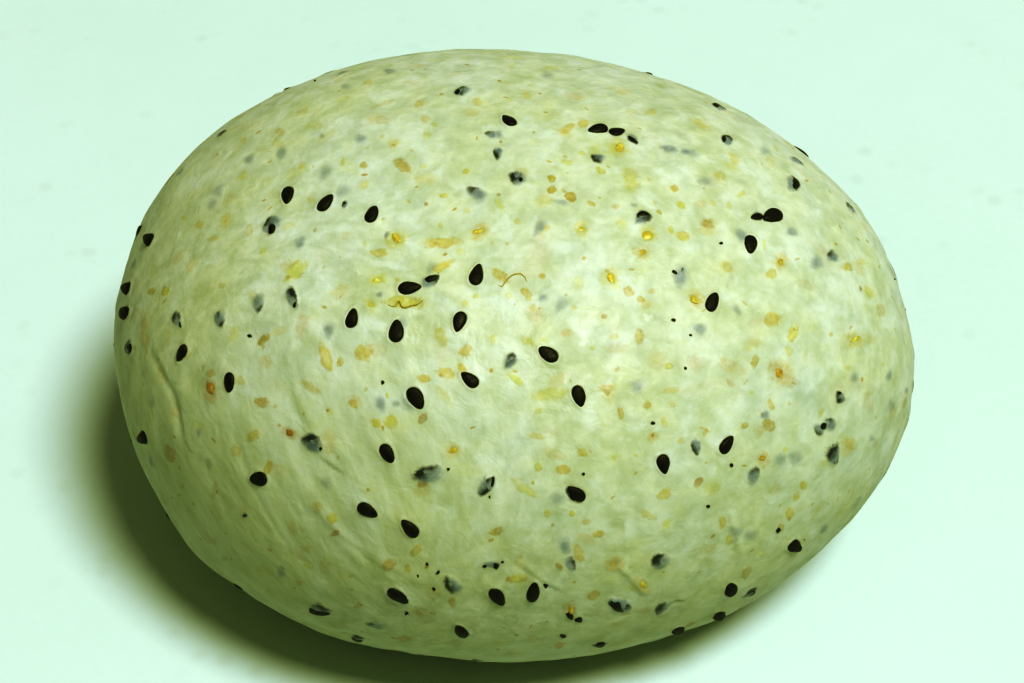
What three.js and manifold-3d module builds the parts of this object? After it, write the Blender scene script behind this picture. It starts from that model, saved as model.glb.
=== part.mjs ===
// A ball of multigrain bread dough with black sesame seeds, shaped for bagels and rising before it is divided.
// Millimetres, +Z up. Origin: the middle of the flat foot that the dough rests on.
// +X runs along the longest extent. +Z is the shortest extent.
import * as THREE from 'three';
import { mergeVertices } from 'three/addons/utils/BufferGeometryUtils.js';
import Module from 'manifold-3d';

// ---------- driving dimensions ----------
const HALF_LENGTH = 51.28;       // along X, before the slow lumps
const HALF_WIDTH = 50.99;        // along Y, before the slow lumps
const RISE = 39.53;              // widest level up to the crown
const DROP = 36.44;              // widest level down to the round belly that the foot cuts off
const WIDEST_Z = 29;             // height of the widest level above the surface it rests on
const FULLNESS = 2.15;           // 2 is an ellipsoid, more is boxier
const CENTRE_X = 1.524;          // puts the whole ball's box in the middle of the frame
const CENTRE_Y = 1.325;
const FACET_DETAIL = 12;         // icosphere subdivision of the dough skin
const FOOT_BLOCK = 200;          // side of the block that cuts the flat foot

// Slow lumps of a hand-rounded ball, in hundredths of the radius, one for each term in x, y, z of the unit direction.
const LUMPS = { x: -4.33, y: -2.48, xz: -0.73, yz: -0.94, x2y2: 8.8, x3b: 1.07, y3b: -0.03, x4: 2.09, x3y: -1.63 };
// Slight swellings and hollows: [longitude, latitude, hundredths of the radius], each fading out over SWELL_REACH.
const SWELLS = [
  [-2.6, 5.1, 0.22], [-10.3, -3.0, 0.72], [-18.0, -9.1, -0.61], [-28.3, -15.2, -0.89], [-46.3, -21.2, 0.68], [-77.1, -23.3, 0.2],
  [-105.4, -23.3, -1.25], [-123.4, -19.2, 0.46], [-141.4, -13.1, 0.42], [-151.7, -9.1, -0.11], [-162.0, -3.0, -0.36], [-172.3, 5.1, 0.06],
  [180.0, 11.1, -0.08], [169.7, 17.2, 0.35], [159.4, 25.3, 0.3], [146.6, 31.3, -0.37], [123.4, 39.4, -0.07], [82.3, 41.5, 0.5],
  [46.3, 35.4, 0.28], [25.7, 25.3, -0.53], [12.9, 17.2, 0.12], [5.1, 11.1, -0.3],
];
const SWELL_REACH = 0.02;        // 1 minus the cosine of the angle at which a swelling has faded to a third

// Black sesame seeds that stand proud of the skin.
const SEED_THICKNESS = 1.0;      // a sesame seed is half as thick as it is wide
const SEED_LIFT = 0.05;          // seed centre above the skin
const SEED_GAP = 0.3;            // clearance all round between a seed and its pocket in the dough
const SEED_SIDES = 8;
// Half outline of a seed from its pointed tip to its round end: [half width, station], as shares of width and length.
const SEED_OUTLINE = [[0, 0.5], [0.24, 0.33], [0.42, 0.1], [0.5, -0.14], [0.36, -0.38], [0, -0.5]];
// [longitude, latitude, spin of the tip anticlockwise from east, length, width], degrees and mm, seen from the middle of the ball.
const SEEDS = [
  [-58.9, -16.0, 108, 3.1, 1.83],  [-52.0, -14.3, 111, 3.1, 1.83],  [-110.5, 17.1, -18, 2.84, 1.85],
  [-101.2, 56.8, 78, 3.12, 1.78],  [-84.8, 4.8, 83, 3.58, 1.68],  [-102.3, 48.2, -102, 2.79, 1.71],
  [-103.8, 15.8, 135, 2.91, 1.81],  [-105.0, 2.7, -40, 3.29, 2.06],  [-39.7, 43.3, 35, 2.86, 1.69],
  [-106.9, 35.2, -50, 3.04, 1.98],  [-62.2, 23.6, -88, 2.67, 1.74],  [-109.3, 26.3, -51, 2.67, 1.68],
  [-128.4, 15.3, -150, 2.87, 1.88],  [-75.4, 36.9, -83, 2.77, 1.67],  [-90.2, 4.0, -65, 3.44, 1.78],
  [-117.4, 51.1, 20, 2.96, 1.78],  [-80.9, 44.0, 142, 2.79, 1.82],  [-97.5, 39.5, 142, 2.67, 1.6],
  [-125.5, 42.9, 103, 2.67, 1.65],  [-163.1, 48.0, -19, 3.01, 1.77],  [-40.6, -2.0, -51, 3.1, 1.83],
  [-77.6, 21.9, 134, 2.75, 1.62],  [-115.4, 44.0, 101, 2.99, 1.95],  [-152.6, 5.3, -130, 3.1, 1.83],
  [-51.9, -5.7, 101, 3.1, 1.83],  [-154.7, 52.9, 112, 2.96, 1.78],  [-139.2, 25.1, -61, 2.67, 1.67],
  [-171.4, 16.3, -139, 3.1, 1.83],  [-20.7, 45.2, -154, 2.92, 1.9],  [-50.6, 23.0, 37, 2.67, 1.74],
  [127.1, 84.3, -25, 2.76, 1.69],  [-149.9, 22.8, -92, 2.67, 1.67],  [-142.2, 57.7, 110, 2.71, 1.71],
  [-95.8, -4.5, 109, 3.11, 1.6],  [-175.3, 22.8, -145, 3.1, 1.83],  [-8.8, 43.7, 142, 3.7, 2.1],
  [17.9, 75.5, 87, 2.96, 1.78],  [-167.4, 15.3, 48, 3.1, 1.83],  [41.0, -24.0, -172, 3.31, 1.91],
  [108.5, -14.2, 29, 3.22, 1.98],  [107.4, 28.6, 25, 3.36, 2.11],  [1.9, -7.1, -53, 3.4, 1.93],
  [147.9, -18.9, 152, 2.76, 1.63],  [60.1, 25.9, -141, 2.83, 1.61],  [161.0, 6.8, -55, 3.34, 2.03],
  [-179.7, -15.7, -75, 2.99, 1.83],  [-144.4, -20.8, -3, 2.73, 1.65],  [31.1, 23.5, 7, 3.16, 1.96],
  [89.4, -21.1, -101, 3.07, 1.8],  [-28.7, -23.9, 100, 3.35, 2.09],  [133.1, 21.3, 80, 3.04, 1.77],
  [73.7, -3.6, -89, 3.36, 1.94],  [29.9, -0.2, -60, 2.73, 1.66],  [92.4, -2.7, 105, 3.11, 1.92],
  [62.0, -25.8, -111, 3.22, 1.99],  [89.3, 16.4, -129, 3.05, 1.77],  [48.5, 0.7, 174, 3.34, 1.9],
];

const DOUGH = new THREE.MeshStandardMaterial({ color: new THREE.Color().setRGB(0.84, 0.86, 0.66, THREE.SRGBColorSpace), roughness: 0.55, metalness: 0 });
const SESAME = new THREE.MeshStandardMaterial({ color: new THREE.Color().setRGB(0.05, 0.055, 0.06, THREE.SRGBColorSpace), roughness: 0.6, metalness: 0 });

// ---------- the dough's surface ----------
function direction(lon, lat) {
  const lo = THREE.MathUtils.degToRad(lon);
  const la = THREE.MathUtils.degToRad(lat);
  return new THREE.Vector3(Math.cos(la) * Math.cos(lo), Math.cos(la) * Math.sin(lo), Math.sin(la));
}

const SWELL_PLACES = SWELLS.map(([lon, lat, size]) => [direction(lon, lat), size]);

function lumps(d) {
  const { x, y, z } = d;
  const L = LUMPS;
  const slow = L.x * x + L.y * y + L.xz * x * z + L.yz * y * z + L.x2y2 * (x * x - y * y)
    + L.x3b * x * (x * x - 3 * y * y) + L.y3b * y * (3 * x * x - y * y)
    + L.x4 * ((x * x - y * y) ** 2 - 4 * x * x * y * y) + L.x3y * x * y * (x * x - y * y);
  let local = 0;
  for (const [at, size] of SWELL_PLACES) local += size * Math.exp(-(1 - at.dot(d)) / SWELL_REACH);
  return (1 + 0.01 * slow) * (1 + 0.01 * local);
}

// The point of the skin in unit direction d from the middle of the ball.
function skin(d) {
  const vertical = d.z > 0 ? RISE : DROP;
  const sum = Math.abs(d.x / HALF_LENGTH) ** FULLNESS + Math.abs(d.y / HALF_WIDTH) ** FULLNESS + Math.abs(d.z / vertical) ** FULLNESS;
  const radius = sum ** (-1 / FULLNESS) * lumps(d);
  return new THREE.Vector3(CENTRE_X, CENTRE_Y, WIDEST_Z).addScaledVector(d, radius);
}

// ---------- joining and cutting ----------
const wasm = await Module();
wasm.setup();

function solid(geometry) {
  const bare = geometry.clone();
  bare.deleteAttribute('normal');
  bare.deleteAttribute('uv');
  const merged = mergeVertices(bare, 1e-4);
  // faces that closed up on the axis of a lathe are dropped
  const tris = [];
  const index = merged.index.array;
  for (let i = 0; i < index.length; i += 3) {
    const [a, b, c] = [index[i], index[i + 1], index[i + 2]];
    if (a !== b && b !== c && c !== a) tris.push(a, b, c);
  }
  return new wasm.Manifold(new wasm.Mesh({
    numProp: 3,
    vertProperties: new Float32Array(merged.attributes.position.array),
    triVerts: new Uint32Array(tris),
  }));
}

function geometryOf(manifold) {
  const mesh = manifold.getMesh();
  const geometry = new THREE.BufferGeometry();
  geometry.setAttribute('position', new THREE.BufferAttribute(new Float32Array(mesh.vertProperties), 3));
  geometry.setIndex(new THREE.BufferAttribute(new Uint32Array(mesh.triVerts), 1));
  geometry.computeVertexNormals();
  return geometry;
}

// ---------- seeds ----------
// A seed lies with its tip along +Y and its flat side facing +Z; grow widens it evenly on every side.
function seedGeometry(length, width, grow) {
  const profile = SEED_OUTLINE.map(([r, s]) => new THREE.Vector2(r * (width + 2 * grow), s * (length + 2 * grow)));
  profile.reverse();
  const geometry = new THREE.LatheGeometry(profile, SEED_SIDES);
  geometry.scale(1, 1, (SEED_THICKNESS + 2 * grow) / (width + 2 * grow));
  return geometry;
}

// The place of a seed: flat against the skin, tip turned by spin from east.
function seedPlace([lon, lat, spin]) {
  const d = direction(lon, lat);
  const side = new THREE.Vector3(0, 0, 1).cross(d).normalize();
  const over = new THREE.Vector3().crossVectors(d, side);
  const step = 0.004;
  const near = (v, s) => skin(new THREE.Vector3().copy(d).addScaledVector(v, s).normalize());
  const normal = new THREE.Vector3().crossVectors(near(side, step).sub(near(side, -step)), near(over, step).sub(near(over, -step))).normalize();
  const east = new THREE.Vector3(0, 0, 1).cross(normal).normalize();
  const north = new THREE.Vector3().crossVectors(normal, east);
  const s = THREE.MathUtils.degToRad(spin);
  const tip = east.multiplyScalar(Math.cos(s)).addScaledVector(north, Math.sin(s));
  const across = new THREE.Vector3().crossVectors(tip, normal);
  const place = new THREE.Matrix4().makeBasis(across, tip, normal);
  place.setPosition(skin(d).addScaledVector(normal, SEED_LIFT));
  return place;
}

// ---------- assembly ----------
const ball = new THREE.Group();
ball.name = 'dough_ball_with_sesame';

const skinGeometry = new THREE.IcosahedronGeometry(1, FACET_DETAIL);
const points = skinGeometry.attributes.position;
const d = new THREE.Vector3();
for (let i = 0; i < points.count; i++) {
  const p = skin(d.fromBufferAttribute(points, i).normalize());
  points.setXYZ(i, p.x, p.y, p.z);
}
const footBlock = new THREE.BoxGeometry(FOOT_BLOCK, FOOT_BLOCK, FOOT_BLOCK).translate(0, 0, -FOOT_BLOCK / 2);
let dough = solid(skinGeometry).subtract(solid(footBlock));

SEEDS.forEach((row, i) => {
  const place = seedPlace(row);
  dough = dough.subtract(solid(seedGeometry(row[3], row[4], SEED_GAP).applyMatrix4(place)));
  const seed = new THREE.Mesh(geometryOf(solid(seedGeometry(row[3], row[4], 0))), SESAME);
  seed.name = `sesame_seed_${String(i + 1).padStart(2, '0')}`;
  seed.applyMatrix4(place);
  ball.add(seed);
});

const doughMesh = new THREE.Mesh(geometryOf(dough), DOUGH);
doughMesh.name = 'dough_ball';
ball.add(doughMesh);

export default ball;
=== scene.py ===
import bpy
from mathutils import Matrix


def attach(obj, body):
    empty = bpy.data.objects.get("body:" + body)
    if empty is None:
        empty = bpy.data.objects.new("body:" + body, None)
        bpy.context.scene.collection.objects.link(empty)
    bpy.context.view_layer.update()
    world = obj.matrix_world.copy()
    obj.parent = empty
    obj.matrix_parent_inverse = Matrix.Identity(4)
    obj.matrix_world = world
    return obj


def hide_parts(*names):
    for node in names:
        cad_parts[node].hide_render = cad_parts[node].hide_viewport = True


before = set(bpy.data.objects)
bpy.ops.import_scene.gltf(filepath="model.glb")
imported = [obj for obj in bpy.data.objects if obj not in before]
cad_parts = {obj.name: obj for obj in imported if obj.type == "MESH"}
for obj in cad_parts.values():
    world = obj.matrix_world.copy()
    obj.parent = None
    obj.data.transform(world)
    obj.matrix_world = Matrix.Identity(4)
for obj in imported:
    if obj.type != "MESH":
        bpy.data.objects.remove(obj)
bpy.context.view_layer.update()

# A ball of multigrain dough with black sesame, resting on its flat foot. Millimetres are used for the making and turned
# into metres as each mesh is built. Directions from the ball's middle are longitude and latitude in degrees.

import math

import bpy
import numpy as np
from mathutils import Matrix, Vector

MM = 0.001

# ---------------------------------------------------------------------------------------------------- the ball's form
HALF_LONG, HALF_DEEP = 51.28, 50.99
HALF_UP, HALF_DOWN = 39.53, 36.44
MIDDLE = np.array([1.524, 1.325, 29.0])
FULLNESS = 2.15
LUMP = dict(x=-4.33, y=-2.48, xz=-0.73, yz=-0.94, oval=8.8, tri_x=1.07, tri_y=-0.03, quad_x=2.09, quad_y=-1.63)
SWELLS = [(-2.6, 5.1, 0.22), (-10.3, -3.0, 0.72), (-18.0, -9.1, -0.61), (-28.3, -15.2, -0.89), (-46.3, -21.2, 0.68),
          (-77.1, -23.3, 0.2), (-105.4, -23.3, -1.25), (-123.4, -19.2, 0.46), (-141.4, -13.1, 0.42),
          (-151.7, -9.1, -0.11), (-162.0, -3.0, -0.36), (-172.3, 5.1, 0.06), (180.0, 11.1, -0.08), (169.7, 17.2, 0.35),
          (159.4, 25.3, 0.3), (146.6, 31.3, -0.37), (123.4, 39.4, -0.07), (82.3, 41.5, 0.5), (46.3, 35.4, 0.28),
          (25.7, 25.3, -0.53), (12.9, 17.2, 0.12), (5.1, 11.1, -0.3)]
SWELL_REACH = 0.02

# ------------------------------------------------------------------------------------------------------- what is in it
# Bare sesame seeds: longitude, latitude, turn of the pointed end from east towards north, length, width.
BARE_SEEDS = [
    (-58.9, -16.0, 108, 3.1, 1.83), (-52.0, -14.3, 111, 3.1, 1.83), (-110.5, 17.1, -18, 2.84, 1.85), (-101.2, 56.8, 78, 3.12, 1.78),
    (-84.8, 4.8, 83, 3.58, 1.68), (-102.3, 48.2, -102, 2.79, 1.71), (-103.8, 15.8, 135, 2.91, 1.81), (-105.0, 2.7, -40, 3.29, 2.06),
    (-39.7, 43.3, 35, 2.86, 1.69), (-106.9, 35.2, -50, 3.04, 1.98), (-62.2, 23.6, -88, 2.67, 1.74), (-109.3, 26.3, -51, 2.67, 1.68),
    (-128.4, 15.3, -150, 2.87, 1.88), (-75.4, 36.9, -83, 2.77, 1.67), (-90.2, 4.0, -65, 3.44, 1.78), (-117.4, 51.1, 20, 2.96, 1.78),
    (-80.9, 44.0, 142, 2.79, 1.82), (-97.5, 39.5, 142, 2.67, 1.6), (-125.5, 42.9, 103, 2.67, 1.65), (-163.1, 48.0, -19, 3.01, 1.77),
    (-40.6, -2.0, -51, 3.1, 1.83), (-77.6, 21.9, 134, 2.75, 1.62), (-115.4, 44.0, 101, 2.99, 1.95), (-152.6, 5.3, -130, 3.1, 1.83),
    (-51.9, -5.7, 101, 3.1, 1.83), (-154.7, 52.9, 112, 2.96, 1.78), (-139.2, 25.1, -61, 2.67, 1.67), (-171.4, 16.3, -139, 3.1, 1.83),
    (-20.7, 45.2, -154, 2.92, 1.9), (-50.6, 23.0, 37, 2.67, 1.74), (127.1, 84.3, -25, 2.76, 1.69), (-149.9, 22.8, -92, 2.67, 1.67),
    (-142.2, 57.7, 110, 2.71, 1.71), (-95.8, -4.5, 109, 3.11, 1.6), (-175.3, 22.8, -145, 3.1, 1.83), (-8.8, 43.7, 142, 3.7, 2.1),
    (17.9, 75.5, 87, 2.96, 1.78), (-167.4, 15.3, 48, 3.1, 1.83), (41.0, -24.0, -172, 3.31, 1.91), (108.5, -14.2, 29, 3.22, 1.98),
    (107.4, 28.6, 25, 3.36, 2.11), (1.9, -7.1, -53, 3.4, 1.93), (147.9, -18.9, 152, 2.76, 1.63), (60.1, 25.9, -141, 2.83, 1.61),
    (161.0, 6.8, -55, 3.34, 2.03), (-179.7, -15.7, -75, 2.99, 1.83), (-144.4, -20.8, -3, 2.73, 1.65), (31.1, 23.5, 7, 3.16, 1.96),
    (89.4, -21.1, -101, 3.07, 1.8), (-28.7, -23.9, 100, 3.35, 2.09), (133.1, 21.3, 80, 3.04, 1.77), (73.7, -3.6, -89, 3.36, 1.94),
    (29.9, -0.2, -60, 2.73, 1.66), (92.4, -2.7, 105, 3.11, 1.92), (62.0, -25.8, -111, 3.22, 1.99), (89.3, 16.4, -129, 3.05, 1.77),
    (48.5, 0.7, 174, 3.34, 1.9),
]
SEED_THICK = 1.0
SEED_LIFT = 0.05

# Seeds half sunk in the skin: the same, then how deep, and the tip of the long axis in degrees.
SUNK_SEEDS = [
    (-156.8, 43.6, -142, 2.60, 2.20, 0.45, -14), (-92.1, 23.9, 53, 3.00, 1.90, 0.5, 10), (-89.5, 43.0, -133, 2.60, 1.60, 0.55, 12), (-36.6, 61.6, -170, 2.90, 2.10, 0.5, -12),
    (-93.6, 78.5, 59, 2.90, 2.20, 0.62, 0), (-32.6, 11.0, -71, 2.90, 2.20, 0.5, 10), (-32.6, 16.9, -24, 2.86, 1.43, 0.5, -10), (-28.1, 19.1, -52, 2.60, 1.80, 0.45, 0),
    (-55.9, 24.5, -89, 2.70, 1.60, 0.6, 8), (-71.0, -1.3, 131, 4.86, 2.56, 0.4, 6), (-118.1, -6.3, -136, 4.94, 3.22, 0.35, 8), (-46.9, -10.8, -67, 3.20, 2.00, 0.25, 0),
    (5.4, 40.1, 148, 4.68, 2.60, 0.3, 0), (16.0, 50.4, 143, 3.20, 2.00, 0.45, 0), (132.3, 70.4, -111, 3.30, 2.20, 0.4, 0), (15.7, 71.7, -83, 2.90, 2.20, 0.15, 0),
    (9.5, 69.1, -173, 3.00, 1.70, 0.55, 10), (-11.2, 46.1, 145, 2.80, 1.70, 0.35, 8), (-40.4, 50.1, -128, 1.30, 0.72, 0.74, -10), (-113.7, -14.0, 75, 3.20, 2.00, 0.2, 0),
    (-73.3, -14.1, -78, 3.20, 2.00, 0.2, 0), (-139.0, 40.2, -33, 3.50, 1.80, 0.55, 12), (-97.1, 6.5, 121, 3.10, 2.00, 0.55, 8), (-154.8, 25.1, -4, 3.45, 1.95, 0.5, 8),
    (-113.3, 53.5, 44, 3.12, 2.04, 0.55, 10), (-148.0, 30.5, -31, 2.60, 2.00, 0.6, 5), (-151.0, 55.3, -49, 1.50, 1.00, 0.7, 0), (-78.1, 21.8, 131, 3.00, 2.00, 0.75, 0),
    (35.8, 43.6, 121, 4.00, 2.50, 0.4, 0), (9.1, 26.8, 139, 3.20, 2.00, 0.5, 0), (-64.7, 6.8, 126, 3.30, 2.20, 0.72, -8), (-102.1, 24.9, -165, 3.10, 1.70, 0.62, 10),
    (-121.6, 24.1, -20, 3.30, 2.20, 0.72, 12), (-78.8, -2.3, -75, 2.00, 0.80, 0.2, 0), (-77.5, -3.4, -62, 1.80, 1.32, 0.2, 0), (-162.1, 13.4, -132, 3.20, 2.00, 0.2, 0),
]

# Seeds seen through the skin: the same, then a class from 1, deep and faint, to 5, just under it.
VEILED_SEEDS = [
    (71.2, 50.0, 8, 2.40, 1.90, 1), (138.5, 53.0, -93, 3.30, 2.10, 3), (83.5, 63.9, -74, 3.30, 1.90, 2), (142.0, 42.8, -107, 3.30, 2.00, 3), (50.6, 49.4, -13, 3.30, 2.10, 1),
    (151.1, 50.2, -107, 3.30, 1.60, 2), (132.0, 70.5, 69, 3.50, 2.40, 5), (35.8, 43.6, -59, 3.30, 2.10, 4), (164.3, 31.3, -125, 3.30, 2.10, 5), (178.4, 83.7, 11, 2.40, 1.90, 4),
    (16.6, 59.3, 41, 2.30, 1.90, 1), (176.6, 53.4, -147, 1.40, 0.90, 2), (-179.1, 60.3, -146, 2.60, 2.00, 3), (16.2, 50.2, 143, 3.30, 1.70, 5), (-132.1, 82.9, -144, 3.10, 1.50, 5),
    (-179.4, 47.1, 10, 3.10, 2.00, 3), (5.7, 58.9, 90, 3.10, 2.10, 3), (5.7, 62.6, 84, 3.10, 2.10, 3), (15.0, 43.4, 132, 3.10, 1.50, 2), (179.4, 41.6, 24, 2.90, 2.00, 3),
    (-15.8, 75.3, 77, 2.40, 2.20, 5), (16.3, 36.5, 99, 3.63, 2.31, 4), (171.6, 26.3, 38, 3.30, 2.10, 3), (-166.1, 54.4, -24, 2.90, 2.00, 2), (-93.3, 78.3, -119, 3.30, 2.70, 5),
    (-6.9, 55.9, 122, 2.30, 1.90, 2), (5.6, 40.1, 146, 3.80, 1.90, 5), (-1.3, 49.6, 108, 1.90, 1.40, 1), (-174.3, 36.9, 19, 3.30, 2.00, 2), (-171.8, 35.9, 17, 3.10, 2.00, 2),
    (-116.5, 72.5, 138, 3.68, 2.42, 4), (-64.2, 71.8, 140, 2.70, 1.20, 2), (9.2, 26.9, 140, 3.79, 2.42, 4), (-34.1, 64.4, 130, 1.20, 0.90, 2), (-36.7, 61.5, -169, 3.30, 2.30, 5),
    (-157.7, 44.3, -76, 3.30, 2.90, 5), (-79.6, 67.2, -127, 3.70, 1.60, 3), (-10.2, 40.1, 146, 2.30, 1.70, 3), (-133.1, 56.8, -78, 1.50, 0.80, 3), (-148.2, 46.4, -42, 2.30, 1.70, 3),
    (-9.3, 32.6, 151, 3.30, 2.20, 4), (-13.6, 34.8, 156, 3.30, 2.20, 3), (-174.5, 18.2, 35, 3.30, 2.10, 3), (-41.9, 49.5, -129, 3.70, 2.50, 3), (-139.0, 40.2, -34, 3.90, 1.90, 5),
    (-2.1, 17.1, 146, 3.30, 1.80, 1), (-144.0, 36.2, -52, 3.20, 2.20, 4), (-123.2, 48.0, -158, 1.10, 1.00, 3), (-81.0, 53.5, -164, 1.60, 1.20, 2), (-76.1, 52.0, -136, 2.40, 1.60, 2),
    (-36.1, 40.0, -81, 1.90, 1.20, 2), (-147.8, 30.6, -26, 2.80, 2.20, 4), (-154.8, 25.2, -2, 3.10, 1.90, 4), (-53.6, 45.8, 117, 2.10, 1.40, 1), (-128.3, 39.6, -69, 2.60, 1.80, 3),
    (-45.8, 40.9, 131, 2.10, 1.80, 3), (-162.5, 13.2, -133, 4.29, 2.47, 5), (-37.2, 34.2, 159, 1.70, 1.00, 1), (-89.4, 42.8, -133, 2.70, 1.70, 5), (-16.3, 13.8, 160, 2.70, 1.70, 3),
    (-23.9, 19.5, 158, 1.90, 1.40, 2), (-63.5, 36.3, -100, 2.00, 1.90, 2), (-12.0, 7.1, -46, 2.40, 1.10, 3), (-28.1, 19.0, -53, 2.50, 2.00, 5), (-112.8, 33.0, -58, 2.60, 1.70, 3),
    (-151.7, 12.6, -124, 2.20, 1.60, 2), (-17.6, 9.2, -50, 3.30, 2.00, 2), (-42.4, 24.3, 176, 1.80, 1.30, 3), (-65.5, 31.5, 162, 1.70, 1.10, 1), (-31.7, 16.6, 125, 2.90, 2.00, 4),
    (-34.0, 17.2, 123, 2.80, 1.90, 4), (-93.8, 31.9, -125, 1.60, 1.00, 1), (-140.7, 15.6, -75, 1.60, 1.00, 2), (-121.6, 24.0, -20, 3.91, 2.76, 5), (-24.0, 8.2, -52, 2.50, 1.10, 2),
    (-55.9, 24.5, -90, 2.70, 1.50, 5), (-32.7, 11.6, -88, 4.00, 3.20, 5), (-39.7, 15.4, 138, 2.90, 2.00, 2), (-42.3, 16.5, 138, 2.70, 2.00, 2), (-150.7, 2.1, -121, 3.30, 2.10, 3),
    (-137.4, 12.3, -69, 2.10, 1.40, 2), (-47.5, 16.1, -102, 3.10, 2.30, 4), (-102.1, 24.5, -165, 5.07, 2.86, 5), (-92.6, 23.5, -126, 3.20, 2.20, 5), (-117.8, 19.1, -56, 2.10, 1.80, 2),
    (-26.8, -3.3, -109, 3.30, 2.10, 2), (-129.9, 7.8, -125, 1.40, 0.90, 4), (-34.3, -2.9, -61, 3.20, 1.80, 3), (-49.0, 5.4, 132, 3.30, 1.70, 2), (-51.7, 7.7, 133, 3.30, 1.70, 2),
    (-79.8, 13.2, -78, 3.30, 1.80, 3), (-79.0, 9.6, -79, 3.30, 1.80, 4), (-94.9, 13.6, -78, 1.70, 1.30, 1), (-64.7, 6.9, 121, 3.80, 2.90, 5), (-91.2, 10.4, 175, 2.60, 1.30, 4),
    (-123.6, -0.2, -104, 3.30, 1.60, 3), (-97.0, 6.4, 121, 3.96, 2.52, 5), (-47.4, -10.3, -125, 3.30, 2.10, 5), (-70.0, -2.2, 111, 3.10, 1.70, 5), (-72.1, -0.4, 111, 2.90, 1.70, 5),
    (-63.7, -5.2, -95, 4.20, 2.52, 5), (-118.0, -6.3, -139, 3.30, 2.10, 5), (-103.8, -1.1, -76, 1.30, 0.70, 4), (-109.0, -6.1, -161, 3.63, 2.31, 4), (-85.4, -6.1, 99, 1.90, 1.40, 1),
    (-113.0, -12.9, -127, 2.80, 2.10, 5), (-73.2, -13.9, 148, 3.00, 2.10, 5), (-155.9, 56.0, -66, 2.80, 2.00, 2), (-114.9, 55.6, -103, 2.50, 1.50, 2), (-80.5, 21.4, -11, 2.60, 2.00, 2),
    (-20.0, 47.2, -143, 2.50, 1.90, 3), (-110.0, 33.7, 10, 1.30, 1.00, 2), (-108.0, 34.1, -50, 2.50, 1.80, 2), (-114.6, 45.2, -75, 2.40, 1.40, 2), (177.9, 84.8, -69, 1.90, 1.80, 3),
    (-109.0, -6.1, -138, 3.20, 2.20, 3), (-66.9, -10.1, -60, 4.20, 2.10, 1), (-129.2, -1.0, 58, 3.60, 2.10, 1), (-73.0, 31.3, -11, 2.60, 1.80, 1), (-87.0, 30.8, -33, 2.80, 1.90, 1),
    (-94.9, 21.3, -63, 3.20, 2.10, 1), (-67.7, 46.7, -10, 2.80, 1.80, 1), (-60.2, 41.8, -110, 2.60, 1.80, 1), (-108.7, 51.0, -89, 2.70, 1.80, 1), (-138.1, 48.6, -46, 2.60, 1.70, 1),
    (-139.2, 34.1, -61, 2.60, 1.80, 1),
]

# Golden grits that stand in the skin: the same, kind (0 yellow, 1 golden, 2 orange, 3 red-brown), strength, darkness.
GRITS = [
    (0.8, 72.0, 2, 2.6, 2.0, 0, 2, 2), (-61.1, 65.3, -125, 2.2, 1.5, 0, 3, 2), (-105.7, 65.1, -133, 2.2, 1.4, 1, 2, 2), (-40.2, 58.6, -153, 2.1, 1.8, 0, 3, 2),
    (-129.7, 57.3, -131, 2.2, 2.2, 0, 3, 2), (-46.2, 56.4, 175, 2.0, 1.6, 1, 3, 2), (-19.1, 39.9, -179, 2.1, 1.4, 1, 2, 1), (-59.7, 54.6, -104, 2.2, 2.0, 0, 3, 1),
    (-125.9, 50.0, -157, 1.9, 1.2, 0, 2, 1), (-42.7, 45.3, 112, 1.9, 1.7, 1, 4, 2), (-123.5, 46.0, -66, 1.6, 1.2, 0, 2, 1), (-19.6, 23.4, 148, 3.3, 1.9, 1, 3, 2),
    (-36.0, 28.1, 123, 3.3, 2.2, 2, 4, 2), (-141.7, 22.1, -46, 2.5, 2.0, 3, 4, 2), (-83.5, 35.2, -91, 0.7, 0.7, 0, 2, 2), (-125.9, 23.9, -172, 1.7, 1.2, 3, 3, 2),
    (-62.9, 28.3, -111, 1.2, 1.0, 2, 2, 1), (-98.7, 28.6, -148, 1.7, 1.4, 1, 2, 2), (-45.2, 18.1, -55, 1.7, 1.4, 2, 3, 2), (-72.0, 8.2, 111, 1.8, 1.8, 2, 3, 2),
    (-67.5, 2.4, 119, 3.1, 1.3, 1, 2, 0), (-78.8, -0.6, -80, 3.4, 1.3, 2, 2, 2),
]

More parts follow.
